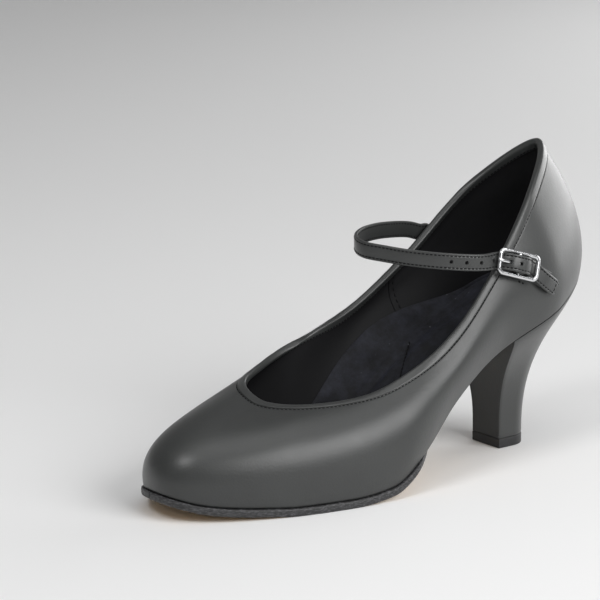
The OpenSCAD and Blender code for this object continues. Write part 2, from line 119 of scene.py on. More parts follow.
class StageSettings(bpy.types.PropertyGroup):
    """Camera and lights."""

    lens: FloatProperty(name="Lens", description="Focal length on a 36 mm sensor", default=194.34, min=20,
                        unit="CAMERA")
    key: power("Key light", "Power of the softbox on the outer side", 21)
    front: power("Front light", "Power of the small softbox over the toe", 4.5)
    rim: power("Back light", "Power of the softbox behind the heel", 12)
    top: power("Top light", "Power of the softbox overhead", 4)
    room: FloatProperty(name="Room light", description="Strength of the even light from the room",
                        default=0.22, min=0)


def in_mm(name):
    """One of the panel's sizes, in millimetres."""
    return getattr(bpy.context.scene.dance_shoe_sizes, name) / MM


# ---------------------------------------------------------------- curves

# Ribs of the last, as in the CAD: feather x, y; topline x, y, z; rise and lean above the feather
# edge; reach and drop below the topline. Rib 0 is at the toe, 1 to 7 run back along the outer side.
RIBS = np.array([
    [-5.0, -191.5, -7.0, -139.0, 46.5, 22.0, 4.0, 32.5, 6.0],
    [11.5, -186.5, 5.0, -137.0, 42.8, 22.0, 5.0, 29.5, 5.0],
    [26.5, -161.5, 17.5, -124.0, 42.3, 22.0, 5.0, 25.0, 5.0],
    [37.5, -125.5, 26.0, -103.0, 44.0, 22.0, 5.0, 19.0, 7.0],
    [41.0, -90.0, 29.5, -84.5, 49.5, 22.0, 5.0, 13.0, 10.0],
    [34.0, -57.0, 30.5, -60.0, 61.5, 20.0, 5.0, 8.0, 12.0],
    [29.0, -27.0, 29.0, -36.5, 82.0, 18.5, 6.0, 8.0, 14.5],
    [28.5, 10.0, 22.0, -3.5, 119.0, 18.5, 5.5, 10.0, 16.5],
    [4.5, 40.0, -2.0, 22.5, 138.0, 21.0, 5.5, 12.5, 18.5],
    [-20.5, 10.0, -24.5, 1.0, 117.5, 18.5, 5.5, 9.5, 16.5],
    [-19.5, -28.0, -28.5, -33.0, 88.5, 18.0, 7.0, 7.5, 14.5],
    [-19.0, -62.5, -30.5, -60.5, 69.5, 20.0, 8.0, 6.5, 12.0],
    [-28.0, -99.0, -30.0, -85.0, 60.0, 22.0, 5.0, 10.5, 10.5],
    [-39.0, -127.0, -29.0, -103.0, 55.0, 21.5, 5.0, 14.5, 10.5],
    [-36.0, -158.0, -24.5, -119.0, 51.0, 21.5, 5.0, 19.5, 10.5],
    [-23.0, -182.5, -17.0, -132.5, 48.8, 22.0, 5.0, 25.5, 10.5],
])
SOLE_T, WAIST_T, SOLE_EDGE = 3.5, 1.8, 1.2
SEAT = np.array([
    [-200, 14.5], [-177, 6.8], [-155, 4.5], [-140, SOLE_T], [-117, SOLE_T], [-97, 5.5], [-76, 17.5],
    [-54, 35.5], [-33, 48.5], [-11, 58.5], [10, 66.5], [35, 75], [45, 78],
])
N_RIBS = len(RIBS)
HALF = N_RIBS / 2
UPPER_T, LINING_T, STIFF_T, GAP = 1.1, 0.7, 0.65, 0.05
MARGIN = 12.0
FOAM_HIGH = UPPER_T + 0.35 + 2 + GAP + 2
SEAM = 5.75
INNER_SEAM = N_RIBS - SEAM
UP = np.array([0.0, 0.0, 1.0])


def mix(a, b, t):
    return a + (b - a) * t


def smooth(t):
    t = np.clip(t, 0, 1)
    return t * t * (3 - 2 * t)


def unit(v):
    return v / np.linalg.norm(v, axis=-1, keepdims=True)


def spline(a, b, c, d, t):
    return 0.5 * (2 * b + (c - a) * t + (2 * a - 5 * b + 4 * c - d) * t * t + (3 * b - a - 3 * c + d) * t**3)


def ring_at(points, u):
    """A closed list of points, read at u along it."""
    u = np.asarray(u, float)
    i, n = np.floor(u).astype(int), len(points)
    return spline(*[points[(i + k) % n] for k in (-1, 0, 1, 2)], (u - i)[..., None])


def line_at(points, u):
    """An open list of points, read at u along it."""
    u = np.asarray(u, float)
    n = len(points)
    i = np.clip(np.floor(u).astype(int), 0, n - 2)
    return spline(*[points[np.clip(i + k, 0, n - 1)] for k in (-1, 0, 1, 2)], (u - i)[..., None])


def seat_slopes():
    grade = np.diff(SEAT[:, 1]) / np.diff(SEAT[:, 0])
    inner = [0 if a * b <= 0 else 2 * a * b / (a + b) for a, b in zip(grade[:-1], grade[1:])]
    return np.array([-0.45, *inner, 0.3])


SLOPES = seat_slopes()


def seat_z(y):
    """Height of the feather edge above the ground, at y along the shoe."""
    y = np.asarray(y, float)
    i = np.clip(np.searchsorted(SEAT[:, 0], y, side="right") - 1, 0, len(SEAT) - 2)
    w = SEAT[i + 1, 0] - SEAT[i, 0]
    t = (y - SEAT[i, 0]) / w
    return (SEAT[i, 1] * (1 + 2 * t) * (1 - t) ** 2 + SLOPES[i] * w * t * (1 - t) ** 2
            + SEAT[i + 1, 1] * t * t * (3 - 2 * t) + SLOPES[i + 1] * w * t * t * (t - 1))


def rib_handles():
    step = np.roll(RIBS[:, :2], -1, 0) - np.roll(RIBS[:, :2], 1, 0)
    away = unit(np.stack([step[:, 1], -step[:, 0], 0 * step[:, 0]], 1))
    fall = np.pad(RIBS[:, :2] - RIBS[:, 2:4], ((0, 0), (0, 1)))
    far = np.linalg.norm(fall, axis=1, keepdims=True)
    fall = np.where(far > 12, fall / np.maximum(far, 1e-6), away)
    handle = RIBS[:, 5:6] * UP + RIBS[:, 6:7] * away
    shoulder = RIBS[:, 2:5] + RIBS[:, 7:8] * fall - RIBS[:, 8:9] * UP
    return handle, shoulder


HANDLE, SHOULDER = rib_handles()
TOP = RIBS[:, 2:5]


def feather(u):
    p = ring_at(RIBS[:, :2], u)
    return np.concatenate([p, seat_z(p[..., 1])[..., None]], -1)


def outward(u):
    d = ring_at(RIBS[:, :2], np.asarray(u) + 0.05) - ring_at(RIBS[:, :2], np.asarray(u) - 0.05)
    return unit(np.stack([d[..., 1], -d[..., 0], 0 * d[..., 0]], -1))


def last(u, v):
    """Outer face of the upper, v = 0 at the feather edge and 1 at the topline."""
    u, v = np.broadcast_arrays(np.asarray(u, float), np.asarray(v, float))
    v, f = v[..., None], feather(u)
    return ((1 - v) ** 3 * f + 3 * v * (1 - v) ** 2 * (f + ring_at(HANDLE, u))
            + 3 * v * v * (1 - v) * ring_at(SHOULDER, u) + v**3 * ring_at(TOP, u))


def face(u, v):
    u, v = np.asarray(u, float), np.asarray(v, float)
    return unit(np.cross(last(u + 0.05, v) - last(u - 0.05, v), last(u, v + 0.02) - last(u, v - 0.02)))


def wall(u, v, depth):
    """A point at a depth inside the outer face."""
    return last(u, v) - np.asarray(depth, float)[..., None] * face(u, v)


def bed(u, inset, up):
    """A point on the foot's underside, inset from the feather edge and raised above it."""
    p = feather(u) - np.asarray(inset, float)[..., None] * outward(u)
    p[..., 2] = seat_z(p[..., 1]) + up
    return p


def reach(u):
    return np.linalg.norm(ring_at(TOP, u) - ring_at(SHOULDER, u), axis=-1) * 3


def edge_point(u, down, out):
    """A point at a distance down from the topline and out from the upper's face."""
    return wall(u, 1 - down / reach(u), -out)


# ---------------------------------------------------------------- meshes


def grid_faces(rows, columns, loop):
    """Quads of a tube of closed rings; with loop, the last ring joins the first."""
    i = np.arange(rows if loop else rows - 1)[:, None]
    j = np.arange(columns)[None]
    a, b = i * columns + j, i * columns + (j + 1) % columns
    up = (i + 1) % rows * columns
    return np.stack([a, b, up + (j + 1) % columns, up + j], -1).reshape(-1, 4)


def make_mesh(name, points, faces, materials, face_material=None, sharp=None):
    mesh = bpy.data.meshes.new(name)
    corners = np.asarray(points).reshape(-1, 3) * MM
    mesh.from_pydata(corners.tolist(), [], [list(map(int, f)) for f in faces])
    for m in materials:
        mesh.materials.append(m)
    if face_material is not None:
        mesh.polygons.foreach_set("material_index", np.asarray(face_material, np.int32))
    work = bmesh.new()
    work.from_mesh(mesh)
    bmesh.ops.recalc_face_normals(work, faces=work.faces)
    if work.calc_volume(signed=True) < 0:
        bmesh.ops.reverse_faces(work, faces=work.faces)
    work.to_mesh(mesh)
    work.free()
    mesh.shade_smooth()
    if sharp:
        mesh.set_sharp_from_angle(angle=math.radians(sharp))
    mesh.validate()
    piece = bpy.data.objects.new(name, mesh)
    bpy.context.scene.collection.objects.link(piece)
    return piece


def loft(name, rings, materials, loop=False, band=None, sharp=40):
    """A solid from rings of equal length. Open ends are closed with strips across the ring.
    band gives each face round the ring the number of its material."""
    m, n = rings.shape[:2]
    faces = grid_faces(m, n, loop).tolist()
    marks = None if band is None else list(np.tile(band, m if loop else m - 1))
    if not loop:
        e = (m - 1) * n
        for j in range(n // 2 - 1):
            faces.append([j, n - 1 - j, n - 2 - j, j + 1])
            faces.append([e + j, e + j + 1, e + n - 2 - j, e + n - 1 - j])
        if marks is not None:
            marks += [band[0]] * (2 * (n // 2 - 1))
    return make_mesh(name, rings, faces, materials, marks, sharp)


def place(piece, body, slot, *nodes):
    """Gives a piece its body, or bakes its transform when the body is not a name, and hides the CAD nodes that
    it stands for. Its finish slot is not used.
    """
    if nodes:
        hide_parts(*nodes)
    if isinstance(body, str):
        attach(piece, body)
    else:
        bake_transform(piece)
    return piece


def cut(piece, tools):
    """Cuts closed tool meshes out of a piece, then removes them."""
    for tool in tools:
        step = piece.modifiers.new("cut", "BOOLEAN")
        step.operation, step.solver, step.object = "DIFFERENCE", "EXACT", tool
    graph = bpy.context.evaluated_depsgraph_get()
    done = bpy.data.meshes.new_from_object(piece.evaluated_get(graph))
    piece.modifiers.clear()
    piece.data = done
    done.set_sharp_from_angle(angle=math.radians(40))
    for tool in tools:
        bpy.data.objects.remove(tool)
    return piece


def rod_tool(start, end, radius, sides=24):
    """A plain round cutter between two points."""
    axis = unit(end - start)
    side = unit(np.cross(axis, [0.3, 0.5, 0.8]))
    a = np.linspace(0, 2 * math.pi, sides, endpoint=False)[:, None]
    ring = radius * (np.cos(a) * side + np.sin(a) * np.cross(axis, side))
    return loft("cutter", np.stack([start + ring, end + ring]), [])


# One stitch: places along it in halves of its length, and how thick it is there
BEAD_SIDES = 8
BEAD = np.array([[-1.0, 0.25], [-0.86, 0.7], [-0.5, 1.0], [0.5, 1.0], [0.86, 0.7], [1.0, 0.25]])

# Stitches in millimetres: pitch and length in the seams and in the linings, and pitch, length and width across
# the ends of the strap and the buckle's tab
SEAM_STITCH, LINING_STITCH, END_STITCH = (2.4, 1.8), (2.6, 1.9), (2.0, 1.6, 0.5)


def sew(name, path, normal, pitch, long, wide, body, slot, sink=0.35):
    """A row of separate thread stitches laid along a path, sunk a little into what they hold.
    path and normal are fine samples; each stitch is a short rounded bead."""
    run = np.concatenate([[0], np.cumsum(np.linalg.norm(np.diff(path, axis=0), axis=1))])
    count = max(1, int(run[-1] / pitch))
    points, faces = [], []
    a = np.linspace(0, 2 * math.pi, BEAD_SIDES, endpoint=False)
    for k in range(count):
        mid = (k + 0.5) * run[-1] / count
        at = mid + BEAD[:, 0] * long / 2
        centre = np.stack([np.interp(at, run, path[:, c]) for c in range(3)], 1)
        n = unit(np.array([np.interp(mid, run, normal[:, c]) for c in range(3)]))
        along = unit(centre[-1] - centre[0])
        side = np.cross(n, along)
        dip = wide * (0.18 - sink) - 0.3 * wide * BEAD[:, 0] ** 4
        rings = (centre + dip[:, None] * n)[:, None] + BEAD[:, 1][:, None, None] * wide / 2 * (
            np.cos(a)[None, :, None] * side + np.sin(a)[None, :, None] * n)
        base = len(points) * BEAD_SIDES * len(BEAD)
        points.append(rings.reshape(-1, 3))
        faces += (grid_faces(len(BEAD), BEAD_SIDES, False) + base).tolist()
        e = base + BEAD_SIDES * (len(BEAD) - 1)
        faces += [list(range(base, base + BEAD_SIDES)), list(range(e, e + BEAD_SIDES))]
    place(make_mesh(name, np.concatenate(points), faces, [material("thread")]), body, slot)


def wander(points, scale, seed):
    """Smooth seeded noise from -1 to 1 at points in millimetres; scale is its width in millimetres."""
    rng = np.random.default_rng(seed)
    total = np.zeros(points.shape[:-1])
    for _ in range(10):
        wave = unit(rng.normal(size=3)) * rng.uniform(0.6, 1.5) / scale * 2 * math.pi
        total += np.sin(points @ wave + rng.uniform(0, 6.3))
    return total / 4.5


# ---------------------------------------------------------------- materials


def add(tree, kind, inputs=None, **settings):
    """Adds a node with its settings; an input is a value or the socket that feeds it."""
    node = tree.nodes.new(kind)
    for key, value in settings.items():
        setattr(node, key, value)
    for key, value in (inputs or {}).items():
        if isinstance(value, bpy.types.NodeSocket):
            tree.links.new(value, node.inputs[key])
        else:
            node.inputs[key].default_value = value
    return node


def start_material(name):
    """An empty material with its tree and the piece's own coordinates in metres."""
    made = bpy.data.materials.new(name)
    made.use_nodes = True
    made.node_tree.nodes.clear()
    return made, made.node_tree, add(made.node_tree, "ShaderNodeTexCoord").outputs["Object"]


def finish_material(tree, **inputs):
    shader = add(tree, "ShaderNodeBsdfPrincipled", {k.replace("_", " "): v for k, v in inputs.items()})
    add(tree, "ShaderNodeOutputMaterial", {"Surface": shader.outputs["BSDF"]})


def per_mm(width):
    """Texture scale that gives a feature of that width in millimetres."""
    return 1000 / width


def noise(tree, at, width, detail, roughness=0.5):
    """Fractal noise with features of that width in millimetres."""
    inputs = {"Vector": at, "Scale": per_mm(width), "Detail": detail, "Roughness": roughness}
    return add(tree, "ShaderNodeTexNoise", inputs).outputs["Fac"]


def cells(tree, at, width, **settings):
    """Distance from points scattered that far apart in millimetres."""
    scatter = add(tree, "ShaderNodeTexVoronoi", {"Vector": at, "Scale": per_mm(width)}, **settings)
    return scatter.outputs["Distance"]


def ridges(tree, at, scale, distortion, direction):
    """Soft parallel ridges."""
    inputs = {"Vector": at, "Scale": scale, "Distortion": distortion}
    return add(tree, "ShaderNodeTexWave", inputs, bands_direction=direction).outputs["Fac"]


def stretched(tree, at, scale):
    return add(tree, "ShaderNodeMapping", {"Vector": at, "Scale": scale}).outputs[0]


def remap(tree, value, low=0.0, high=1.0, to_low=0.0, to_high=1.0):
    inputs = {"Value": value, 1: low, 2: high, 3: to_low, 4: to_high}
    return add(tree, "ShaderNodeMapRange", inputs).outputs[0]


def tones(tree, share, first, second):
    """A colour between two others."""
    return add(tree, "ShaderNodeMix", {"Factor": share, 6: first, 7: second}, data_type="RGBA").outputs[2]


def heights(tree, share, first, second):
    """A height between two others."""
    return add(tree, "ShaderNodeMix", {"Factor": share, 2: first, 3: second}).outputs[0]


def relief(tree, height, strength, depth):
    """The normal of a relief with a depth in metres."""
    return add(tree, "ShaderNodeBump", {"Height": height, "Strength": strength, "Distance": depth}).outputs[0]


def tone(base, share=1.0):
    """A share of a colour, with full alpha."""
    return (*[x * share for x in base[:3]], 1)


def dress_leather(name, light, dark, grain, rough, shine=0.35):
    """Corrected-grain calf leather with a satin dressing: the rolled-on finish gives broad soft
    highlights, and the plated grain under it shows as a faint pebble with finer pores."""
    made, tree, at = start_material(name)
    shade = tones(tree, noise(tree, at, 24, 3.0), light, dark)
    # Grain pebbles are about 0.5 mm on the real skin and drawn at 0.8 to 1 mm, so that they show
    pebble = cells(tree, at, grain, feature="SMOOTH_F1")
    height = heights(tree, 0.5, pebble, noise(tree, at, grain * 0.45, 4.0, 0.6))
    gloss = remap(tree, noise(tree, at, 7, 5.0), to_low=rough - 0.05, to_high=rough + 0.06)
    finish_material(tree, Base_Color=shade, Roughness=gloss, IOR=1.5,
                    Normal=relief(tree, height, 0.5, 0.00016), Coat_Weight=shine, Coat_Roughness=0.32,
                    Coat_IOR=1.45)
    return made


def lining_leather(colours):
    """Pigskin lining, drum dyed: matt, with sparse pores and a slightly brushed nap."""
    made, tree, at = start_material("Lining_pigskin")
    shade = tones(tree, noise(tree, at, 9, 6.0, 0.65), tone(colours.lining, 0.7), tone(colours.lining, 1.5))
    pores = remap(tree, cells(tree, at, 1.3), 0.05, 0.3)
    finish_material(tree, Base_Color=shade, Roughness=0.7, Normal=relief(tree, pores, 0.25, 0.0001),
                    Specular_IOR_Level=0.3)
    return made


def sock_fabric(colours):
    """Brushed nylon tricot over foam: wales along the shoe, random lighter and darker blotches, soft sheen, a
    little lint.
    """
    made, tree, at = start_material("Sock_brushed_tricot")
    # Random blotches, from 0.6 to 3 times the sock's colour
    blotch = remap(tree, noise(tree, at, 11, 7.0, 0.7), 0.42, 0.68)
    shade = tones(tree, blotch, tone(colours.sock, 0.6), tone(colours.sock, 3))
    # Wales are 0.35 mm apart on the fabric and drawn much broader, so that they show
    nap = heights(tree, 0.6, ridges(tree, at, 1000 / 18, 1.5, "X"), noise(tree, at, 0.7, 4.0))
    lint = remap(tree, cells(tree, at, 5.5), 0.05, 0.09, 0.35, 0.0)
    finish_material(tree, Base_Color=tones(tree, lint, shade, linear("#6f7178")), Roughness=0.85,
                    Normal=relief(tree, nap, 0.7, 0.0003), Sheen_Weight=0.2, Sheen_Roughness=0.4,
                    Sheen_Tint=linear("#5d6590"))
    return made


def sole_leather(colours):
    """Vegetable-tanned sole leather: waxed tan grain, a little cloudy, with long darker fibres."""
    made, tree, at = start_material("Sole_veg_tan_leather")
    fibre = noise(tree, stretched(tree, at, (1.0, 0.25, 1.0)), 1.6, 6.0, 0.7)
    cloud = tones(tree, noise(tree, at, 30, 4.0), tone(colours.sole), tone(colours.sole, 0.72))
    shade = tones(tree, remap(tree, fibre, 0.35, 0.7, 0.0, 0.3), cloud, linear("#8f7048"))
    finish_material(tree, Base_Color=shade, Roughness=0.55, Normal=relief(tree, fibre, 0.3, 0.00015))
    return made


def inked_edge(colours):
    """The same leather's cut edge, sanded, inked and waxed: dark, with the layered fibres showing as a
    rough grain, and bare leather where the ink thins out under the sole."""
    made, tree, at = start_material("Sole_edge_inked")
    fibre = noise(tree, stretched(tree, at, (0.6, 0.6, 2.2)), 1.1, 7.0, 0.75)
    wear = remap(tree, fibre, 0.48, 0.7, 0.0, 0.9)
    black = tones(tree, wear, tone(colours.sole_edge), linear("#6d6d70"))
    ink = add(tree, "ShaderNodeAttribute", attribute_name="ink").outputs["Fac"]
    ragged = add(tree, "ShaderNodeMath", {0: ink, 1: fibre}, operation="ADD").outputs[0]
    shade = tones(tree, remap(tree, ragged, 0.72, 0.86), linear("#b39468"), black)
    finish_material(tree, Base_Color=shade, Roughness=0.5, Normal=relief(tree, fibre, 0.55, 0.0003))
    return made


def sewing_thread(colours):
    """Bonded polyester thread of three plies; their twist is drawn wider than it is."""
    made, tree, at = start_material("Thread_bonded_polyester")
    twist = ridges(tree, at, 62.5, 0.5, "DIAGONAL")
    shade = tones(tree, twist, tone(colours.thread), tone(colours.thread, 1.6))
    finish_material(tree, Base_Color=shade, Roughness=0.65, Normal=relief(tree, twist, 0.4, 0.0001),
                    Specular_IOR_Level=0.2)
    return made


def plated_metal(colours):
    """Zinc die casting, barrel polished and nickel plated: bright, with faint hairlines and dulled spots."""
    made, tree, at = start_material("Buckle_nickel_plate")
    hair = noise(tree, stretched(tree, at, (0.2, 0.2, 1.0)), 0.5, 6.0, 0.7)
    shade = tones(tree, noise(tree, at, 2.5, 3.0), tone(colours.metal), tone(colours.metal, 0.8))
    gloss = remap(tree, hair, to_low=0.11, to_high=0.26)
    finish_material(tree, Base_Color=shade, Metallic=1.0, Roughness=gloss,
                    Normal=relief(tree, hair, 0.08, 0.00004))
    return made


def plain_finish(name, light, dark, width, rough, depth, metallic=0.0):
    """A material whose two tones and fine relief follow one noise; width and depth in millimetres."""
    made, tree, at = start_material(name)
    spots = noise(tree, at, width, 5.0, 0.6)
    gloss = remap(tree, spots, to_low=rough - 0.06, to_high=rough + 0.06)
    finish_material(tree, Base_Color=tones(tree, spots, light, dark), Metallic=metallic, Roughness=gloss,
                    Normal=relief(tree, spots, 0.3, depth * MM))
    return made


# Finishes of the parts inside the shoe, as plain_finish takes them
PLAIN = {
    # Bright drawn steel of the shank, nails, screw and pins
    "steel": ("Shank_spring_steel", "#9a9da1", "#777b80", 3.0, 0.35, 0.02, 1.0),
    # Brass tubular rivets, tumbled
    "brass": ("Rivet_brass", "#c09a4e", "#9b7a38", 2.0, 0.3, 0.02, 1.0),
    # Cellulose insole board: pressed fibres with a paper-like face
    "board": ("Insole_cellulose_board", "#c8ad7e", "#a98c5c", 1.4, 0.85, 0.1),
    # Thermoplastic impregnated fabric of the toe puff and counter
    "stiffener": ("Stiffener_resin_fabric", "#bfb294", "#94876a", 1.0, 0.8, 0.08),
    # Open-cell polyurethane foam
    "foam": ("Sock_polyurethane_foam", "#dcd3ae", "#b8ad84", 1.1, 0.9, 0.2),
    # Cork and rubber crumb pressed level with the lasted margin
    "cork": ("Filler_cork_crumb", "#a07a50", "#5f432a", 1.8, 0.9, 0.2),
    # Moulded polystyrene heel block, dull where the cover is glued
    "plastic": ("Heel_moulded_polystyrene", "#48484a", "#38383a", 4.0, 0.5, 0.03),
}
_made = {}


def make_material(name):
    if name in PLAIN:
        title, light, dark, *rest = PLAIN[name]
        return plain_finish(title, linear(light), linear(dark), *rest)
    c = bpy.context.scene.dance_shoe_colours
    makers = {"lining": lining_leather, "sock": sock_fabric, "sole": sole_leather, "edge": inked_edge,
              "thread": sewing_thread, "metal": plated_metal}
    if name in makers:
        return makers[name](c)
    if name == "rubber":
        # Vulcanised rubber, moulded and buffed: matt black with a fine grit
        return plain_finish("Top_piece_rubber", tone(c.rubber), linear("#2f2f31"), 0.9, 0.6, 0.12)
    # Title, shares of the light and the deep tone, width of the grain, roughness and weight of the dressing
    title, light, deep, *rest = {
        "upper": ("Upper_satin_calf", 1.0, 1.0, 1.0, 0.42),
        "binding": ("Binding_soft_leather", 0.9, 1.0, 0.8, 0.38),
        "heel": ("Heel_cover_leather", 1.05, 1.0, 1.0, 0.42),
        "breast": ("Breast_leather", 0.6, 0.5, 1.0, 0.5, 0.1),
        "strap": ("Strap_leather", 1.0, 1.0, 0.8, 0.38),
        "strap_lining": ("Strap_backing_leather", 0.8, 1.0, 0.8, 0.5, 0.05),
    }[name]
    return dress_leather(title, tone(c.leather, light), tone(c.leather_deep, deep), *rest)


def material(name):
    """The shoe's materials by their plain names, each made once."""
    if name not in _made:
        _made[name] = make_material(name)
    return _made[name]


# ---------------------------------------------------------------- upper, binding and linings


def steps_round(extra=()):
    n = bpy.context.scene.dance_shoe_sizes.steps_round
    return np.unique(np.round(np.concatenate([np.linspace(0, N_RIBS, n, endpoint=False), extra]), 5))


# Millimetres from one rib to the next at the side seams
RIB_MM = 36.0
# Rise of the lapped side seam, and the distance of its two rows of stitches behind its edge
LAP = 0.55
SEAM_ROWS = (1.4, 3.6)
# Stitched groove below the binding: distance down from the topline, and depth
GROOVE_AT, GROOVE_DEEP = 4.25, 0.22
SEAM_STEPS = INNER_SEAM + np.array([
    -8, -6, -4.6, -4, -3.8, -3.6, -3.4, -3.2, -2.5, -1.8, -1.6, -1.4, -1.2, -1, -0.4, -0.1,
    0, 0.1, 0.2, 0.3, 0.45, 0.8,
]) / RIB_MM


def lift(u, v):
    """How far the upper's face stands out: the lapped side seam and the stitched groove below the binding."""
    s = (np.asarray(u) - INNER_SEAM) * RIB_MM
    lap = np.where(s < 0, LAP * smooth((s + 10) / 9), LAP * (1 - smooth(s / 0.35)))
    groove = np.exp(-((((1 - v) * reach(u) - GROOVE_AT) / 0.3) ** 2))
    for row in SEAM_ROWS:
        lap = lap - 0.12 * np.exp(-(((s + row) / 0.35) ** 2))
    return lap * smooth((v - 0.01) / 0.1) - GROOVE_DEEP * groove


# Steps of the upper's section: in from the feather edge under the insole, and down from the topline
UNDER_STEPS = np.array([MARGIN, 9.5, 7, 5, 3, 1.8, 1.1])
TOP_STEPS = np.array([10, 8, 6.5, 5.6, 5.1, 4.8, 4.6, 4.4, 4.25, 4.1, 3.95, 3.8, 3.4, 2.5, 1.2, 0.4])


def upper_rings(us):
    """Closed sections of the lasted upper: under the insole, round the feather edge, up the wall and back."""
    u = us[:, None]
    high = 1 - TOP_STEPS[None] / reach(us)[:, None]
    low = 0.016 + (high[:, :1] - 0.016) * (np.linspace(0, 1, 44, endpoint=False)[None] ** 1.25)
    v = np.concatenate([low, high], 1)
    outer = wall(u, v, -lift(u, v))
    under = bed(u, UNDER_STEPS[None] + 0 * u, 0)
    corner = feather(us)[:, None]
    t = np.array([0.25, 0.5, 0.75])[None, :, None]
    turn = (1 - t) ** 2 * under[:, -1:] + 2 * t * (1 - t) * corner + t * t * outer[:, :1]
    back = wall(u, np.linspace(1, 0.09, 12)[None], UPPER_T + 0 * u)
    foot = wall(us, 0, UPPER_T + 0 * us)
    foot[:, 2] = feather(us)[:, 2] + UPPER_T
    inside = bed(u, np.array([MARGIN])[None] + 0 * u, UPPER_T)
    return np.concatenate([under, turn, outer, last(us, 1 + 0 * us)[:, None], back, foot[:, None], inside], 1)


class SHOE_OT_upper(bpy.types.Operator):
    """Lasted leather upper with its lapped side seam"""

    bl_idname = "dance_shoe.upper"
    bl_label = "Upper"

    def execute(self, context):
        us = steps_round(SEAM_STEPS)
        upper = loft("upper_leather", upper_rings(us), [material("upper")], loop=True)
        place(upper, "root", "upper_leather", "upper")
        v = np.linspace(0.03, 0.93, 120)
        for row in SEAM_ROWS:
            u = INNER_SEAM - row / RIB_MM + 0 * v
            sew(f"side_seam_stitches_{int(row)}", wall(u, v, -lift(u, v)), face(u, v), *SEAM_STITCH,
                in_mm("thread_width"), "root", "upper_leather")
        return {"FINISHED"}


# Section of the binding: distance down from the topline, and out from the upper's face
BINDING = np.array([
    [1.0, 0.03], [1.0, 0.30], [0.985, 0.44], [0.94, 0.52], [0.80, 0.58], [0.45, 0.66], [0.15, 0.66],
    [0.0, 0.56],
    [-0.1, 0.30], [-0.17, -0.1], [-0.19, -0.6], [-0.19, -1.2], [-0.17, -1.8], [-0.1, -2.25], [0.05, -2.48],
    [0.3, -2.56], [0.7, -2.6], [0.95, -2.54], [1.02, -2.42], [1.04, -2.2], [1.02, -2.0], [0.7, -1.98],
    [0.3, -1.98],
    [0.05, -1.95], [-0.04, -1.6], [-0.06, -1.0], [-0.04, -0.4], [0.05, 0.0], [0.5, 0.03],
])


class SHOE_OT_binding(bpy.types.Operator):
    """Binding folded over the topline, and the stitches along its lower edge"""

    bl_idname = "dance_shoe.binding"
    bl_label = "Topline binding"

    def execute(self, context):
        wide, thread = in_mm("binding_width"), in_mm("thread_width")
        pitch, long = in_mm("stitch_pitch"), in_mm("stitch_length")
        us = steps_round()
        ripple = 0.07 * wander(edge_point(us, 0 * us, 0 * us), 9, 4)
        rings = [edge_point(us, down * wide + 0 * us, out + (ripple if out > 0.2 else 0) + 0 * us)
                 for down, out in BINDING]
        binding = loft("topline_binding_leather", np.stack(rings, 1), [material("binding")], loop=True)
        place(binding, "root", "binding_leather", "topline_binding")
        u = np.linspace(0, N_RIBS, 1400)
        v = 1 - GROOVE_AT / reach(u)
        sew("topline_stitches", wall(u, v, -lift(u, v)), face(u, v), pitch, long, thread,
            "root", "binding_leather", 0.05)
        v = 1 - 0.86 * wide / reach(u)
        sew("topline_inner_stitches", wall(u, v, 2.58 + 0 * u), -face(u, v), pitch, long, thread,
            "root", "binding_leather", 0.25)
        return {"FINISHED"}


def over(u, v, centre, width, top):
    """1 over a stiffener of that half-width and height, falling to 0 past its skived edge."""
    across = np.abs((u + HALF - centre + N_RIBS) % N_RIBS - HALF) - width
    return smooth(1.2 - across / 0.5) * smooth(1.2 - (v - top) / 0.2)


def lining_depth(u, v):
    puff, counter = over(u, v, 0, 2.25, 7 / 12), over(u, v, HALF, 2, 8 / 12)
    return UPPER_T + GAP + (STIFF_T + GAP) * np.maximum(puff, counter)


def lining_rings(us, raised):
    """A lining from just above the insole to the binding; raised lifts its cut edges off the other lining."""
    u = us[:, None]
    v = np.linspace(0.05, 0.985, 46)[None] + 0 * u
    near = np.minimum(np.abs(us - us[0]), np.abs(us - us[-1]))[:, None] * RIB_MM
    deep = lining_depth(u, v) + raised * smooth(1 - near / 6)
    slack = 0.1 * wander(wall(u, v, deep), 26, 12) * smooth(near / 12)
    return np.concatenate([wall(u, v, deep), wall(u, v, deep + LINING_T + slack)[:, ::-1]], 1)


class SHOE_OT_linings(bpy.types.Operator):
    """Vamp lining and quarter lining, which meet at the side seams"""

    bl_idname = "dance_shoe.linings"
    bl_label = "Linings"

    def execute(self, context):
        us = np.linspace(-SEAM, SEAM, 220)
        vamp = loft("vamp_lining_skin", lining_rings(us, 0.0), [material("lining")])
        place(vamp, "root", "lining_leather", "vamp_lining")
        us = np.linspace(SEAM - 0.08, INNER_SEAM + 0.08, 140)
        quarter = loft("quarter_lining_skin", lining_rings(us, 0.45), [material("lining")])
        place(quarter, "root", "lining_leather", "quarter_lining")
        v = np.linspace(0.3, 0.93, 60)
        for name, seam in (("outer", SEAM), ("inner", INNER_SEAM)):
            u = seam + 0 * v
            path = wall(u, v, lining_depth(u, v) + LINING_T + 0.35)
            sew(f"lining_stitches_{name}", path, -face(u, v), *LINING_STITCH, in_mm("thread_width"),
                "root", "lining_leather")
        return {"FINISHED"}


# ---------------------------------------------------------------- padded sock


SOCK_T = 0.85
V_PER_MM = 0.02
# How far the pad turns up a wall where there is no arch, and how much more it climbs at the arch
SIDE_CLIMB, ARCH_CLIMB = 1.2, 19
# Ends of the seam across the pad, x and y
SOCK_SEAM = np.array([[-22.0, -33.0], [22.0, -88.0]])


def arch_side(y):
    """How far the sock's pad climbs the inner wall to hold the arch, in millimetres."""
    return ARCH_CLIMB * smooth(-y / 62) * smooth((y + 112) / 45)


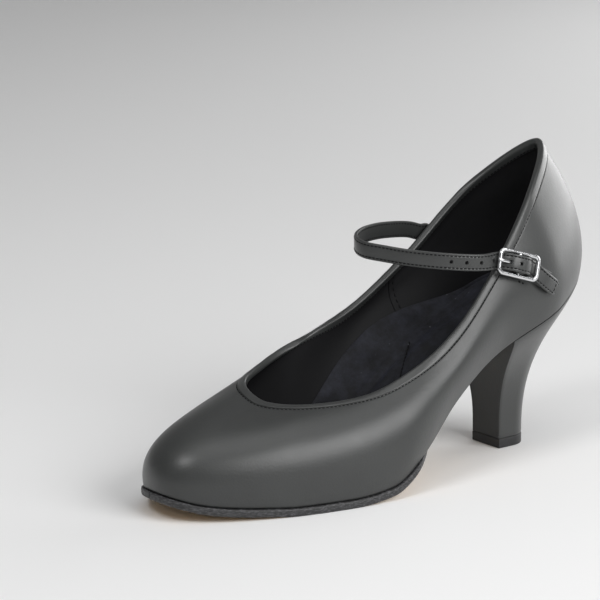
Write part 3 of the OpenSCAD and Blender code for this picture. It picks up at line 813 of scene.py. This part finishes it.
def sock_relief(p, edge, crown):
    """Relief of the padded bed: crowned, and creased across the arch; sock_rings draws it down along its seam.
    """
    y = p[..., 1]
    arch = smooth((y + 125) / 30) * smooth((5 - y) / 30)
    soft = 0.5 * wander(p * [1.5, 0.55, 0.5], 22, 7) + 0.3 * wander(p * [1.6, 0.5, 0.5], 9, 8)
    soft = soft - 0.5 * np.abs(wander(p * [1.3, 0.6, 0.5], 15, 31)) ** 0.5
    return crown * smooth(edge / 12) + (soft + 0.5) * smooth((edge - 1) / 6) * (0.45 + 0.8 * arch)


def level_v(u, up):
    """Where the inside wall passes a height above the seat line, for each u."""
    v = np.linspace(0.02, 0.4, 60)
    p = wall(u[:, None], v[None], UPPER_T + LINING_T + 0 * u[:, None] * v[None])
    high = p[..., 2] - seat_z(p[..., 1])
    return np.array([np.interp(up, h, v) for h in high])


def sock_side(u, climb, s):
    """Front and back of the pad where it turns up a wall; s runs from 0 at the bed to 1 at its upper edge."""
    v0 = level_v(u, FOAM_HIGH + SOCK_T)[:, None]
    u, climb, s = u[:, None], climb[:, None], s[None]
    v = v0 + V_PER_MM * climb * s
    behind = lining_depth(u, v) + LINING_T + 0.14
    far = climb * s
    padding = 0.25 + 1.1 * (1 - s**5) * smooth(climb / 4) + 0.3 * (1 - smooth(climb / 4))
    fillet = 2.6 * np.exp(-far / 2.2) * smooth(climb / 6)
    crease = 0.8 * wander(wall(u, v, 2 + 0 * v) * [1, 0.8, 0.6], 11, 9)
    crease = crease * smooth(far / 4) * smooth((climb - far) / 4)
    return wall(u, v, behind + padding + fillet + crease), wall(u, v, behind)


def sock_rings(crown):
    """Closed sections of the pad: down the outer side, over the bed, up the inner side, back underneath."""
    us = np.concatenate([[0.03, 0.07, 0.13, 0.21, 0.32], np.linspace(0.45, 7.55, 200),
                         [7.68, 7.79, 7.87, 7.93, 7.97]])
    inner_u = N_RIBS - us
    climb = SIDE_CLIMB + arch_side(feather(inner_u)[:, 1])
    out_front, out_back = sock_side(us, SIDE_CLIMB + 0 * us, np.linspace(0, 1, 6))
    in_front, in_back = sock_side(inner_u, climb, np.linspace(0, 1, 22))
    t = (0.5 - 0.5 * np.cos(np.linspace(0, math.pi, 64)))[1:-1]
    a, b = out_front[:, 0], in_front[:, 0]
    flat = a[:, None] + (b - a)[:, None] * t[None, :, None]
    width = np.linalg.norm((b - a)[:, :2], axis=1)[:, None]
    ends = np.minimum(flat[..., 1] - flat[0, 0, 1], flat[-1, 0, 1] - flat[..., 1])
    edge = np.minimum(width * np.minimum(t, 1 - t)[None], np.maximum(ends, 0))
    base = seat_z(flat[..., 1]) + FOAM_HIGH
    along = unit(SOCK_SEAM[1] - SOCK_SEAM[0])
    off = (flat[..., 0] - SOCK_SEAM[0, 0]) * along[1] - (flat[..., 1] - SOCK_SEAM[0, 1]) * along[0]
    level = base + SOCK_T + sock_relief(flat, edge, crown) - 0.5 * np.exp(-((off / 0.8) ** 2))
    top, low = flat.copy(), flat.copy()
    top[..., 2] = mix(a[:, None, 2] + (b - a)[:, None, 2] * t[None], level, smooth(edge / 3))
    low[..., 2] = base + 0.02
    return np.concatenate([out_front[:, ::-1], top, in_front, in_back[:, ::-1], low[:, ::-1], out_back], 1)


class SHOE_OT_sock(bpy.types.Operator):
    """Padded sock on the foot bed, turned up the inner wall under the arch, with its seam"""

    bl_idname = "dance_shoe.sock"
    bl_label = "Padded sock"

    def execute(self, context):
        crown = in_mm("sock_crown")
        sock = loft("padded_sock", sock_rings(crown), [material("sock")], sharp=70)
        place(sock, "root", "sock_fabric", "sock_cover")

        k = np.linspace(0.06, 0.94, 80)[:, None]
        path = np.pad(SOCK_SEAM[0] + (SOCK_SEAM[1] - SOCK_SEAM[0]) * k, ((0, 0), (0, 1)))
        path[:, 2] = seat_z(path[:, 1]) + FOAM_HIGH + SOCK_T + crown + 0.1
        sew("sock_seam_stitches", path, UP + 0 * path, *SEAM_STITCH, in_mm("thread_width"),
            "root", "sock_fabric", 0.1)
        return {"FINISHED"}


# ---------------------------------------------------------------- sole and heel


def sole_inset(y):
    return mix(-SOLE_EDGE, 8.0, smooth((y + 84) / 28))


def sole_depth(y):
    return mix(SOLE_T, WAIST_T, smooth((y + 88) / 32))


SOLE_END = 6.22
# Section of the sole's edge: how far in from its line, and how far down in shares of the sole's depth
SOLE_RIM = ((2.2, 0.0), (0.9, 0.0), (0.35, 0.02), (0.08, 0.12), (0.0, 0.28), (0.0, 0.5), (0.02, 0.7),
            (0.12, 0.86), (0.38, 0.97), (0.9, 1.0), (2.2, 1.0))
# How much ink each point of that section takes, and which of its faces are the inked edge
RIM_INK = [1.0] * 8 + [0.55, 0.2, 0.0]
RIM_FACES = [1] * 9 + [0]


class SHOE_OT_outsole(bpy.types.Operator):
    """Leather outsole with its inked and waxed edge"""

    bl_idname = "dance_shoe.outsole"
    bl_label = "Outsole"

    def execute(self, context):
        us = np.concatenate([[0.012, 0.03, 0.06, 0.1, 0.15], np.linspace(0.2, SOLE_END, 300)])
        sides = []
        for side in (us, N_RIBS - us):
            f = feather(side)
            inset = sole_inset(f[:, 1])
            deep = sole_depth(f[:, 1])
            line = bed(side, inset, -GAP)
            rough = 0.07 * wander(line, 3.1, 21) + 0.05 * wander(line, 1.3, 22)
            ring = []
            for k, (inward, down) in enumerate(SOLE_RIM):
                p = bed(side, inset + inward * deep / SOLE_T + (rough if 2 < k < 9 else 0), -GAP)
                ring.append(p - np.stack([0 * deep, 0 * deep, down * deep], 1))
            ring = np.stack(ring, 1)
            ring[..., 2] = np.maximum(ring[..., 2], 0)
            sides.append(ring)
        a, b = sides
        t = np.linspace(0, 1, 14)[1:-1]
        under = a[:, -1:] + (b[:, -1:] - a[:, -1:]) * t[None, :, None]
        above = b[:, :1] + (a[:, :1] - b[:, :1]) * t[None, :, None]
        rings = np.concatenate([a, under, b[:, ::-1], above], 1)
        plain = [0] * (len(t) + 1)
        band = RIM_FACES + plain + RIM_FACES[::-1] + plain
        sole = loft("outsole_leather", rings, [material("sole"), material("edge")], band=band, sharp=50)
        ring_ink = RIM_INK + [0.0] * len(t) + RIM_INK[::-1] + [1.0] * len(t)
        ink = sole.data.attributes.new("ink", "FLOAT", "POINT").data
        ink.foreach_set("value", np.tile(np.array(ring_ink, np.float32), len(us)))
        place(sole, "root", "sole_leather", "outsole")
        return {"FINISHED"}


HEEL_R, HEEL_SIDE, TOP_PIECE_T, COVER_T, BREAST = 9.4, 9.0, 4.6, 0.8, 6.27
# Section of the top piece: inset and height
TOP_PIECE_RIM = ((1.2, 0.0), (0.5, 0.0), (0.2, 0.1), (0.0, 0.4), (0.0, 2.2), (-0.02, 4.1), (0.12, 4.45),
                 (0.4, 4.6), (1.2, 4.6))


def tread(k, inset, front):
    """Outline of the heel's tread, k from 0 to 1 round its back."""
    r, side = HEEL_R - inset, HEEL_SIDE - front
    arc = math.pi * r
    s = k * (2 * side + arc)
    a = np.clip((s - side) / r, 0, math.pi)
    x = np.where(s < side, r, np.where(s > side + arc, -r, r * np.cos(a)))
    y = np.where(s < side, s - side, np.where(s > side + arc, side + arc - s, r * np.sin(a)))
    return x, y


def heel(k, t, inset):
    """The heel's surface, k round its back and t from 0 at the top piece to 1 at the seat."""
    k, t, inset = np.broadcast_arrays(np.asarray(k, float), np.asarray(t, float), np.asarray(inset, float))
    seat = bed(BREAST + k * (N_RIBS - 2 * BREAST), inset, -GAP)
    x, y = tread(k, inset, 0)
    back = 1 - np.abs(2 * k - 1)
    w = 1 - (1 - t ** (3 - 0.6 * back)) ** (1.5 - 0.25 * back)
    z = mix(TOP_PIECE_T + 0.1, seat[..., 2], t)
    return np.stack([mix(x, seat[..., 0], w), mix(y, seat[..., 1], w), z], -1)


class SHOE_OT_heel(bpy.types.Operator):
    """Leather heel cover, breast cover and rubber top piece"""

    bl_idname = "dance_shoe.heel"
    bl_label = "Heel"

    def execute(self, context):
        t = np.linspace(0, 1, 90)[:, None]
        k = np.concatenate([np.linspace(0, 0.02, 4), np.linspace(0.03, 0.97, 110), np.linspace(0.98, 1, 4)])
        k = k[None]
        tuck = 0.28 * (1 - smooth(t * 74 / 1.2))  # the cover is turned in over the top piece
        edge = 0.25 * (1 - smooth(np.minimum(k, 1 - k) * 60))
        outer = heel(k, t, tuck + edge)
        inner = heel(k, t, COVER_T + 0 * tuck)
        cover = loft("heel_cover_leather", np.concatenate([outer, inner[:, ::-1]], 1), [material("heel")])
        place(cover, "root", "heel_leather", "heel_cover")

        # The breast's leather is glued on flat, and its cut edges stand a little behind the cover's
        a, b = heel(0.0, t[:, 0], 0.35), heel(1.0, t[:, 0], 0.35)
        s = np.linspace(0, 1, 24)[None, :, None]
        front = a[:, None] + (b - a)[:, None] * s
        hollow = 0.35 * np.sin(np.pi * s) - 0.12 * (1 - smooth(np.minimum(s, 1 - s) * 30))
        slope = unit(np.cross(b - a, np.gradient((a + b) / 2, axis=0)))
        out = np.where(slope[:, 1:2] > 0, -slope, slope)[:, None]
        skin = front + (hollow - 0.05) * -out
        behind = front - out * COVER_T
        breast = loft("breast_leather", np.concatenate([skin, behind[:, ::-1]], 1), [material("breast")])
        place(breast, "root", "breast_leather", "breast_cover")

        k = np.linspace(0, 1, 90)
        rings = []
        for inset, z in TOP_PIECE_RIM:
            x, y = tread(k, inset, inset)
            rings.append(np.stack([x, y, z + 0 * x], -1))
        piece = loft("top_piece_rubber", np.array(rings), [material("rubber")], sharp=30)
        place(piece, "root", "top_piece_rubber", "top_piece")
        return {"FINISHED"}


# ---------------------------------------------------------------- buckle and strap


BUCKLE_AT = np.array([34, -19.8, 92.2])
BUCKLE_TURN = (76, 18, 80)
BUCKLE_L, BUCKLE_W, BAR_W, BAR_T, PIN_D = 22.0, 12.3, 1.9, 1.6, 1.5
FRONT_BAR = (BUCKLE_L - BAR_W) / 2
STRAP_W, STRAP_T, STRAP_LINING_T = 7.5, 0.8, 0.65
HOLE_PITCH, HOLE_D = 6.9, 1.8
CHAPE_W, CHAPE_T = 8.4, 0.6
FOLD_R = PIN_D / 2 + 0.05


def buckle_matrix():
    turn = Matrix.Identity(3)
    for axis, angle in zip("XYZ", BUCKLE_TURN):
        turn = Matrix.Rotation(math.radians(angle), 3, axis) @ turn
    return np.array(turn)


TURN = buckle_matrix()


def buckle_dir(p):
    return np.asarray(p, float) @ TURN.T


def buckle_point(p):
    return BUCKLE_AT + buckle_dir(p)


def buckle_ring(outline, z):
    """An outline in the buckle's plane, raised by z."""
    return buckle_point(np.column_stack([outline, np.full(len(outline), z)]))


def flat_wall(u, v, depth):
    return wall(np.array(u), np.array(v), np.array(depth))


BUCKLE_UP = buckle_dir([0, 1, 0])
TAIL_UP = np.array([-0.12, 0.66, 0.74])
ROUTE = [
    (flat_wall(9.47, 0.65, -1.3), [0.1, 0.65, 0.75]),
    (flat_wall(9.53, 0.78, -1.4), [0.1, 0.6, 0.78]),
    (flat_wall(9.60, 0.90, -1.8), [0.15, 0.5, 0.85]),
    ([-31.2, -23.5, 96.4], [0.15, 0.4, 0.9]),
    ([-31, -30, 98.4], [0.1, 0.2, 0.97]),
    ([-29.6, -40, 100], UP),
    ([-26.6, -52, 101.3], UP),
    ([-21.6, -64, 101.8], UP),
    ([-14.5, -73.2, 101.2], UP),
    ([-5, -76.2, 100.2], UP),
    ([5, -71.5, 99.2], UP),
    ([14, -65.5, 98.2], UP),
    ([22.5, -56, 97], UP),
    ([28.3, -45.5, 95.8], UP),
    ([30.4, -37, 95], UP),
    (buckle_point([-FRONT_BAR, 0, -2.3]), BUCKLE_UP),
    (buckle_point([-7.4, 0, -0.8]), BUCKLE_UP),
    (buckle_point([-4.6, 0, 1.75]), BUCKLE_UP),
    (buckle_point([-2.3, 0, 2.5]), BUCKLE_UP),
    (buckle_point([0, 0, 2.6]), BUCKLE_UP),
    (buckle_point([2.3, 0, 2.4]), BUCKLE_UP),
    (buckle_point([4.6, 0, 1.3]), BUCKLE_UP),
    (buckle_point([7.4, -0.1, -1.3]), BUCKLE_UP),
    (buckle_point([FRONT_BAR, -0.6, -2.35]), mix(BUCKLE_UP, TAIL_UP, 0.3)),
    ([35.1, -4.4, 82.4], TAIL_UP),
    ([34, 2.1, 77.9], TAIL_UP),
]
PLACES = np.array([r[0] for r in ROUTE], float)
ACROSS = np.array([r[1] for r in ROUTE], float)
FINE = 24
TRACK_U = np.linspace(0, len(ROUTE) - 1, FINE * (len(ROUTE) - 1) + 1)
TRACK = line_at(PLACES, TRACK_U)
RUN = np.concatenate([[0], np.cumsum(np.linalg.norm(np.diff(TRACK, axis=0), axis=1))])
STRAP_L = RUN[-1]
HOLE_ZERO = RUN[FINE * 17] - 3
# The prong's slot in the outer ply and in the backing: middle along the buckle, and half of its straight part
SLOT, SLOT_BACK = (-6.5, 1.0), (-5.9, 1.6)
PLY_SPLIT = (STRAP_LINING_T - STRAP_T) / 2
# Body and part names, and two points where the strap's sewn inner end has turned forward
BEND = ("root", "strap", (-0.030, -0.012, 0.092), (-0.010, -0.032, 0.100))


def strap_frame(s):
    """Middle of the strap and its directions along, across and out, at lengths s along it."""
    u = np.interp(s, RUN, TRACK_U)
    p = line_at(PLACES, u)
    along = unit(line_at(PLACES, u + 0.02) - line_at(PLACES, u - 0.02))
    a = line_at(ACROSS, u)
    across = unit(a - (a * along).sum(-1, keepdims=True) * along)
    return p, along, across, np.cross(along, across)


def strap_taper(s):
    end = np.minimum(s, STRAP_L - s)
    return np.where(end > 2, 1.0, mix(0.72, 1, np.clip(end / 2, 0, 1)))


def strap_strip(name, section, mat):
    """A ply of the strap from half of its section: distance from the middle, and distance out."""
    section = np.array(section)
    whole = np.concatenate([section * [-1, 1], section[::-1]])
    s = np.concatenate([np.linspace(0, 2, 7), np.linspace(2.6, STRAP_L - 2.6, 460),
                        np.linspace(STRAP_L - 2, STRAP_L, 7)])
    p, _, across, out = strap_frame(s)
    wide = strap_taper(s)[:, None]
    rings = np.stack([p + w * wide * across + (n + PLY_SPLIT) * out for w, n in whole], 1)
    return loft(name, rings, [mat])


def strap_cutters(middle, half):
    """Cutters for the punched holes, and for the prong's slot: its middle and half of its straight length."""
    tools = []
    for i in (-4, -3, -2, -1, 1):
        p, _, _, out = strap_frame(np.array([HOLE_ZERO + i * HOLE_PITCH]))
        tools.append(rod_tool(p[0] - 3 * out[0], p[0] + 3 * out[0], HOLE_D / 2))
    a, radius = np.linspace(0, math.pi, 12), HOLE_D / 2
    ends = [np.stack([sign * half + middle + sign * radius * np.sin(a), sign * radius * np.cos(a)], 1)
            for sign in (1, -1)]
    tools.append(loft("cutter", np.stack([buckle_ring(np.concatenate(ends), z) for z in (-1, 5)]), []))
    return tools


class SHOE_OT_strap(bpy.types.Operator):
    """Two-ply instep strap with its punched holes and rows of stitches"""

    bl_idname = "dance_shoe.strap"
    bl_label = "Strap"

    def execute(self, context):
        w, t = STRAP_W / 2, STRAP_T
        row_at = w - in_mm("strap_inset")
        outer = [[w, 0.02], [w, 0.42], [w - 0.08, 0.62], [w - 0.3, t - 0.05], [w - 0.6, t],
                 [row_at + 0.3, t - 0.02], [row_at, t - 0.16], [row_at - 0.3, t - 0.02],
                 [row_at - 0.6, t + 0.03], [1.0, t + 0.07], [0.2, t + 0.08]]
        ply = strap_strip("strap_leather", outer, material("strap"))
        place(cut(ply, strap_cutters(*SLOT)), BEND, "strap_leather", "strap")
        under = [[w - 0.02, -0.02], [w - 0.02, -0.35], [w - 0.15, -0.55], [w - 0.45, -STRAP_LINING_T],
                 [0.2, -STRAP_LINING_T]]
        backing = strap_strip("strap_backing", under[::-1], material("strap_lining"))
        place(cut(backing, strap_cutters(*SLOT_BACK)), BEND, "strap_lining_leather", "strap_lining")

        pitch = in_mm("strap_pitch")
        p, _, across, out = strap_frame(np.linspace(1.6, STRAP_L - 1.4, 1500))
        for name, side in (("upper", 1), ("lower", -1)):
            row = p + side * row_at * across
            sew(f"strap_stitches_{name}", row + (t - 0.12 + PLY_SPLIT) * out, out, pitch, 1.35, 0.55,
                BEND, "strap_leather", 0.1)
            sew(f"strap_back_stitches_{name}", row - (STRAP_LINING_T - PLY_SPLIT) * out, -out, pitch,
                1.35, 0.5, BEND, "strap_lining_leather", 0.2)
        # Rows across both ends: name, place along the strap and share of the width
        for name, at, share in (("end_stitches_0", 2.2, 1), ("end_stitches_1", 9.0, 1),
                                ("tail_stitches", STRAP_L - 1.9, 0.8)):
            p, _, across, out = strap_frame(np.full(30, at))
            side = np.linspace(-row_at * share, row_at * share, 30)[:, None]
            sew(f"strap_{name}", p + side * across + (t + PLY_SPLIT) * out, out, *END_STITCH,
                BEND, "strap_leather", 0.1)
        return {"FINISHED"}


def chape_track():
    """Middle line of the folded tab: over the centre bar, back under it and down the outer quarter."""
    r, leg = FOLD_R + CHAPE_T / 2, 2.4
    a = np.linspace(90, 270, 25)
    fold = [[leg, 0, r], [1.2, 0, r]]
    fold += [[r * math.cos(math.radians(d)), 0, r * math.sin(math.radians(d))] for d in a]
    places = [buckle_point(q) for q in fold]
    stops = [
        (buckle_point([leg - 0.5, 0, -r]), BUCKLE_UP),
        (flat_wall(6.58, 0.60, -0.45), [-0.15, 0.45, 0.87]),
        (flat_wall(6.66, 0.46, -0.7), [-0.15, 0.55, 0.82]),
        (flat_wall(6.72, 0.38, -0.7), [-0.12, 0.6, 0.79]),
    ]
    u = np.linspace(0, 3, 60)
    tab = line_at(np.array([q[0] for q in stops]), u)
    tab_up = line_at(np.array([q[1] for q in stops], float), u)
    across = np.concatenate([np.tile(BUCKLE_UP, (len(places), 1)), tab_up])
    track = np.concatenate([places, tab])
    along = unit(np.gradient(track, axis=0))
    across = unit(across - (across * along).sum(-1, keepdims=True) * along)
    return track, along, across


class SHOE_OT_chape(bpy.types.Operator):
    """Leather tab that holds the buckle's centre bar, sewn to the outer quarter"""

    bl_idname = "dance_shoe.chape"
    bl_label = "Buckle tab"

    def execute(self, context):
        track, along, across = chape_track()
        out = np.cross(along, across)
        w, t = CHAPE_W / 2, CHAPE_T / 2
        row_at = w - 1.2
        top = [[w, -t + 0.1], [w, t - 0.2], [w - 0.15, t - 0.04], [w - 0.4, t], [w - 0.9, t - 0.02],
               [row_at, t - 0.12], [w - 1.5, t], [0.5, t + 0.02]]
        under = [[0.5, -t], [w - 0.15, -t]]
        whole = [[-a, b] for a, b in top] + top[::-1] + under[::-1] + [[-a, b] for a, b in under]
        rings = np.stack([track + a * across + b * out for a, b in whole], 1)
        tab = loft("buckle_tab_leather", rings, [material("strap")])
        # Short slanted row of stitches beside the tab
        u, v = np.linspace(6.405, 6.455, 20), np.linspace(0.675, 0.575, 20)
        sew("buckle_tab_tack", wall(u, v, np.full(20, -0.05)), face(np.full(20, 6.43), v), 1.7, 1.1, 0.7,
            "root", "upper_leather", 0.1)
        # Notch in the fold for the prong's eye
        box = np.array([[-4, -1.4], [1.6, -1.4], [1.6, 1.4], [-4, 1.4]])
        tool = loft("cutter", np.stack([buckle_ring(box, z) for z in (-4, 4)]), [])
        bend = ("root", "strap", tuple(flat_wall(6.66, 0.46, 0) * MM), tuple(buckle_point([3, 0, -1]) * MM))
        place(cut(tab, [tool]), bend, "strap_leather", "chape")

        # The tab's outer face looks away from the shoe, which is +X here
        n = len(track)
        away = np.sign(out[n - 10, 0])
        part, end = slice(n - 40, n - 3), n - 8
        for name, side in (("upper", 1), ("lower", -1)):
            path = track[part] + side * row_at * across[part] + away * (t - 0.06) * out[part]
            sew(f"buckle_tab_stitches_{name}", path, away * out[part], 2.3, 1.7, 0.5,
                bend, "strap_leather", 0.1)
        side = np.linspace(-row_at, row_at, 30)[:, None]
        path = track[end] + side * across[end] + (t + 0.02) * away * out[end]
        sew("buckle_tab_stitches_end", path, np.tile(away * out[end], (30, 1)), *END_STITCH,
            bend, "strap_leather", 0.1)
        return {"FINISHED"}


def rounded_outline(long, wide, radius, steps=12):
    """Points and outward directions round a rectangle with round corners."""
    points, away = [], []
    for cx, cy, start in ((1, 1, 0), (-1, 1, 90), (-1, -1, 180), (1, -1, 270)):
        for d in np.linspace(start, start + 90, steps):
            n = np.array([math.cos(math.radians(d)), math.sin(math.radians(d))])
            points.append(np.array([cx * (long / 2 - radius), cy * (wide / 2 - radius)]) + radius * n)
            away.append(n)
    return np.array(points), np.array(away)


class SHOE_OT_buckle(bpy.types.Operator):
    """Plated buckle frame, centre bar and prong"""

    bl_idname = "dance_shoe.buckle"
    bl_label = "Buckle"

    def execute(self, context):
        metal = material("metal")
        h, z = BAR_W / 2, BAR_T / 2
        points, away = rounded_outline(BUCKLE_L - BAR_W, BUCKLE_W - BAR_W, 2.2, 14)
        # Section of the bars: a flat top with wide bevels and an easy underside
        bar = [[-h, 0.25 * z], [-h + 0.12, 0.6 * z], [-0.35 * h, z], [0.35 * h, z], [h - 0.12, 0.6 * z],
               [h, 0.25 * z], [h, -0.5 * z], [h - 0.3, -z], [-h + 0.3, -z], [-h, -0.5 * z]]
        fine = []
        for p, q in zip(bar, bar[1:] + bar[:1]):
            p, q = np.array(p), np.array(q)
            fine += [mix(p, q, 0.12), mix(p, q, 0.88)]
        rings = np.stack([buckle_ring(points + a * away, b) for a, b in fine], 1)
        body = loft("buckle_frame_plated", rings, [metal], loop=True, sharp=60)
        place(body, "buckle", "buckle_nickel", "buckle_frame")

        a = np.linspace(0, 2 * math.pi, 16, endpoint=False)
        ys = np.array([-1, -0.97, -0.9, 0.9, 0.97, 1]) * (BUCKLE_W / 2 - BAR_W * 0.4)
        rs = np.array([0.5, 0.85, 1, 1, 0.85, 0.5]) * PIN_D / 2
        rings = np.stack([buckle_point(np.column_stack([r * np.cos(a), y + 0 * a, r * np.sin(a)]))
                          for y, r in zip(ys, rs)])
        place(loft("buckle_centre_bar", rings, [metal]), "buckle", "buckle_nickel", "buckle_pin")

        # The prong from its eye to its tip: place along the buckle, height, half of its width and thickness
        low = BAR_T / 2 + 0.04
        stations = [
            (0.6, 0.95, 0.35, 0.4), (-0.8, 0.98, 0.62, 0.42), (-2.4, 0.92, 0.66, 0.38),
            (-3.9, 0.9, 0.7, 0.36),
            (-5.9, 1.12, 0.74, 0.42), (-FRONT_BAR + 2.4, low + 0.5, 0.75, 0.5),
            (-FRONT_BAR, low + 0.48, 0.72, 0.48),
            (-FRONT_BAR - 1.2, low + 0.46, 0.6, 0.44), (-FRONT_BAR - 1.6, low + 0.42, 0.36, 0.26),
            (-FRONT_BAR - 1.7, low + 0.4, 0.12, 0.1),
        ]
        c, d = [np.sign(f) * np.abs(f) ** 0.7 for f in (np.cos(a), np.sin(a))]
        rings = np.stack([buckle_point(np.column_stack([x + 0 * a, wide * c, mid + thick * d]))
                          for x, mid, wide, thick in stations])
        tongue = loft("prong_tongue", rings, [metal], sharp=60)
        eye_in, eye_out = PIN_D / 2 + 0.05, PIN_D / 2 + 0.75
        section = [(eye_in, -0.9), (eye_in, 0.9), (eye_in + 0.2, 1.08), (eye_out - 0.2, 1.08),
                   (eye_out, 0.85), (eye_out, -0.85), (eye_out - 0.2, -1.08), (eye_in + 0.2, -1.08)]
        b = np.linspace(0, 2 * math.pi, 32, endpoint=False)
        rings = np.stack([buckle_point([[r * math.cos(turn), y, r * math.sin(turn)] for r, y in section])
                          for turn in b])
        eye = loft("prong_eye", rings, [metal], loop=True, sharp=60)
        place(tongue, "prong", "buckle_nickel", "prong")
        place(eye, "prong", "buckle_nickel")
        return {"FINISHED"}


# ---------------------------------------------------------------- hidden parts


INSIDE = {
    "toe_puff": "stiffener", "heel_counter": "stiffener", "insole_board": "board", "sock_foam": "foam",
    "shank": "steel", "shank_rivets": "brass", "bottom_filler": "cork", "heel_block": "plastic",
    "heel_screw": "steel", "heel_nails": "steel", "top_piece_pins": "steel",
}


class SHOE_OT_inside(bpy.types.Operator):
    """Finishes of the parts inside the shoe, which keep their CAD shapes"""

    bl_idname = "dance_shoe.inside"
    bl_label = "Inside parts"

    def execute(self, context):
        for node, name in INSIDE.items():
            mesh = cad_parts[node].data
            mesh.materials.clear()
            mesh.materials.append(material(name))
        return {"FINISHED"}


# ---------------------------------------------------------------- stage


AIM = (0.0, -0.08, 0.05)
# Softboxes in metres: name, power setting, place, width and height
SOFTBOXES = (
    ("softbox_key", "key", (1.4, 0.2, 0.92), 1.3, 0.9),
    ("softbox_front", "front", (0.25, -0.95, 1.12), 0.4, 0.4),
    ("softbox_back", "rim", (-0.1, 1.45, 0.35), 1.5, 0.6),
    ("softbox_top", "top", (0.3, -0.05, 1.5), 0.9, 0.9),
)


def softbox(name, spot, wide, high, energy):
    lamp = bpy.data.lights.new(name, "AREA")
    lamp.shape, lamp.size, lamp.size_y, lamp.energy = "RECTANGLE", wide, high, energy
    box = bpy.data.objects.new(name, lamp)
    box.location = spot
    box.rotation_mode = "QUATERNION"
    box.rotation_quaternion = (Vector(AIM) - Vector(spot)).to_track_quat("-Z", "Y")
    bpy.context.scene.collection.objects.link(box)


class SHOE_OT_stage(bpy.types.Operator):
    """Pale sweep, soft lights and the camera"""

    bl_idname = "dance_shoe.stage"
    bl_label = "Stage"

    def execute(self, context):
        scene = context.scene
        stage = scene.dance_shoe_stage
        # Matt painted sweep: a floor that curves up into the backdrop
        made, tree, at = start_material("Studio_matt_paint")
        floor = scene.dance_shoe_colours.floor
        shade = tones(tree, noise(tree, at, 1000 / 1.5, 2.0), tone(floor), tone(floor, 0.985))
        finish_material(tree, Base_Color=shade, Roughness=0.6, Specular_IOR_Level=0.25)
        mesh = bpy.data.meshes.new("studio_sweep")
        a = np.linspace(0, math.pi / 2, 24)
        curve = np.stack([2.2 + 1.2 * np.sin(a), 1.2 - 1.2 * np.cos(a)], 1)
        line = np.concatenate([[[-4, 0]], curve, [[3.4, 5]]])
        # Directions on the floor, away from the camera and to its right
        back, side = np.array([-0.7803, 0.6256]), np.array([0.6256, 0.7803])
        points = [[*(back * d + side * s), z] for s in (-5, 5) for d, z in line]
        n = len(line)
        mesh.from_pydata(points, [], [[k, k + 1, n + k + 1, n + k] for k in range(n - 1)])
        mesh.materials.append(made)
        mesh.shade_smooth()
        sweep = bpy.data.objects.new("studio_sweep", mesh)
        scene.collection.objects.link(sweep)

        for name, setting, spot, wide, high in SOFTBOXES:
            softbox(name, spot, wide, high, getattr(stage, setting))
        world = bpy.data.worlds.new("Studio_room")
        world.use_nodes = True
        light = world.node_tree.nodes["Background"].inputs
        light["Color"].default_value = linear("#f6f6f6")
        light["Strength"].default_value = stage.room
        scene.world = world
        scene.view_settings.view_transform = "Standard"

        # From the shoe to the camera, to the camera's right and up
        back, right = Vector((0.7545, -0.6049, 0.2548)), Vector((0.6255, 0.7802, 0))
        up = Vector((-0.1988, 0.1594, 0.967))
        spot = Vector((0, -0.075, 0.05)) + back * 1.433
        # The shoe stands right of and below the middle of the view, so the camera turns a little left and up
        ahead = (-back - right * (73.15 / 3239) + up * (61.7 / 3239)).normalized()
        level = (up - ahead * up.dot(ahead)).normalized()
        across = ahead.cross(level)
        lens = bpy.data.cameras.new("shoe_camera")
        lens.lens, lens.sensor_width, lens.clip_start, lens.clip_end = stage.lens, 36.0, 0.05, 50
        camera = bpy.data.objects.new("shoe_camera", lens)
        camera.matrix_world = Matrix.Translation(spot) @ Matrix((across, level, -ahead)).transposed().to_4x4()
        scene.collection.objects.link(camera)
        scene.camera = camera
        return {"FINISHED"}


class SHOE_PT_panel(bpy.types.Panel):
    """Sizes, colours and build steps of the dance shoe"""

    bl_idname = "SHOE_PT_panel"
    bl_label = "Dance Shoe"
    bl_space_type = "VIEW_3D"
    bl_region_type = "UI"
    bl_category = "Dance Shoe"

    def draw(self, context):
        scene = context.scene
        for group in (scene.dance_shoe_sizes, scene.dance_shoe_colours, scene.dance_shoe_stage):
            box = self.layout.box()
            for name in group.__annotations__:
                box.prop(group, name)
        for step in STEPS:
            self.layout.operator(step.bl_idname)


STEPS = (SHOE_OT_upper, SHOE_OT_binding, SHOE_OT_linings, SHOE_OT_sock, SHOE_OT_outsole, SHOE_OT_heel,
         SHOE_OT_strap, SHOE_OT_chape, SHOE_OT_buckle, SHOE_OT_inside, SHOE_OT_stage)
CLASSES = (ShoeSizes, ShoeColours, StageSettings, *STEPS, SHOE_PT_panel)


def register():
    for c in CLASSES:
        bpy.utils.register_class(c)
    bpy.types.Scene.dance_shoe_sizes = PointerProperty(type=ShoeSizes)
    bpy.types.Scene.dance_shoe_colours = PointerProperty(type=ShoeColours)
    bpy.types.Scene.dance_shoe_stage = PointerProperty(type=StageSettings)


def unregister():
    for name in ("dance_shoe_sizes", "dance_shoe_colours", "dance_shoe_stage"):
        delattr(bpy.types.Scene, name)
    for c in reversed(CLASSES):
        bpy.utils.unregister_class(c)


def main():
    register()
    for step in STEPS:
        group, name = step.bl_idname.split(".")
        getattr(getattr(bpy.ops, group), name)()


if __name__ == "__main__":
    main()
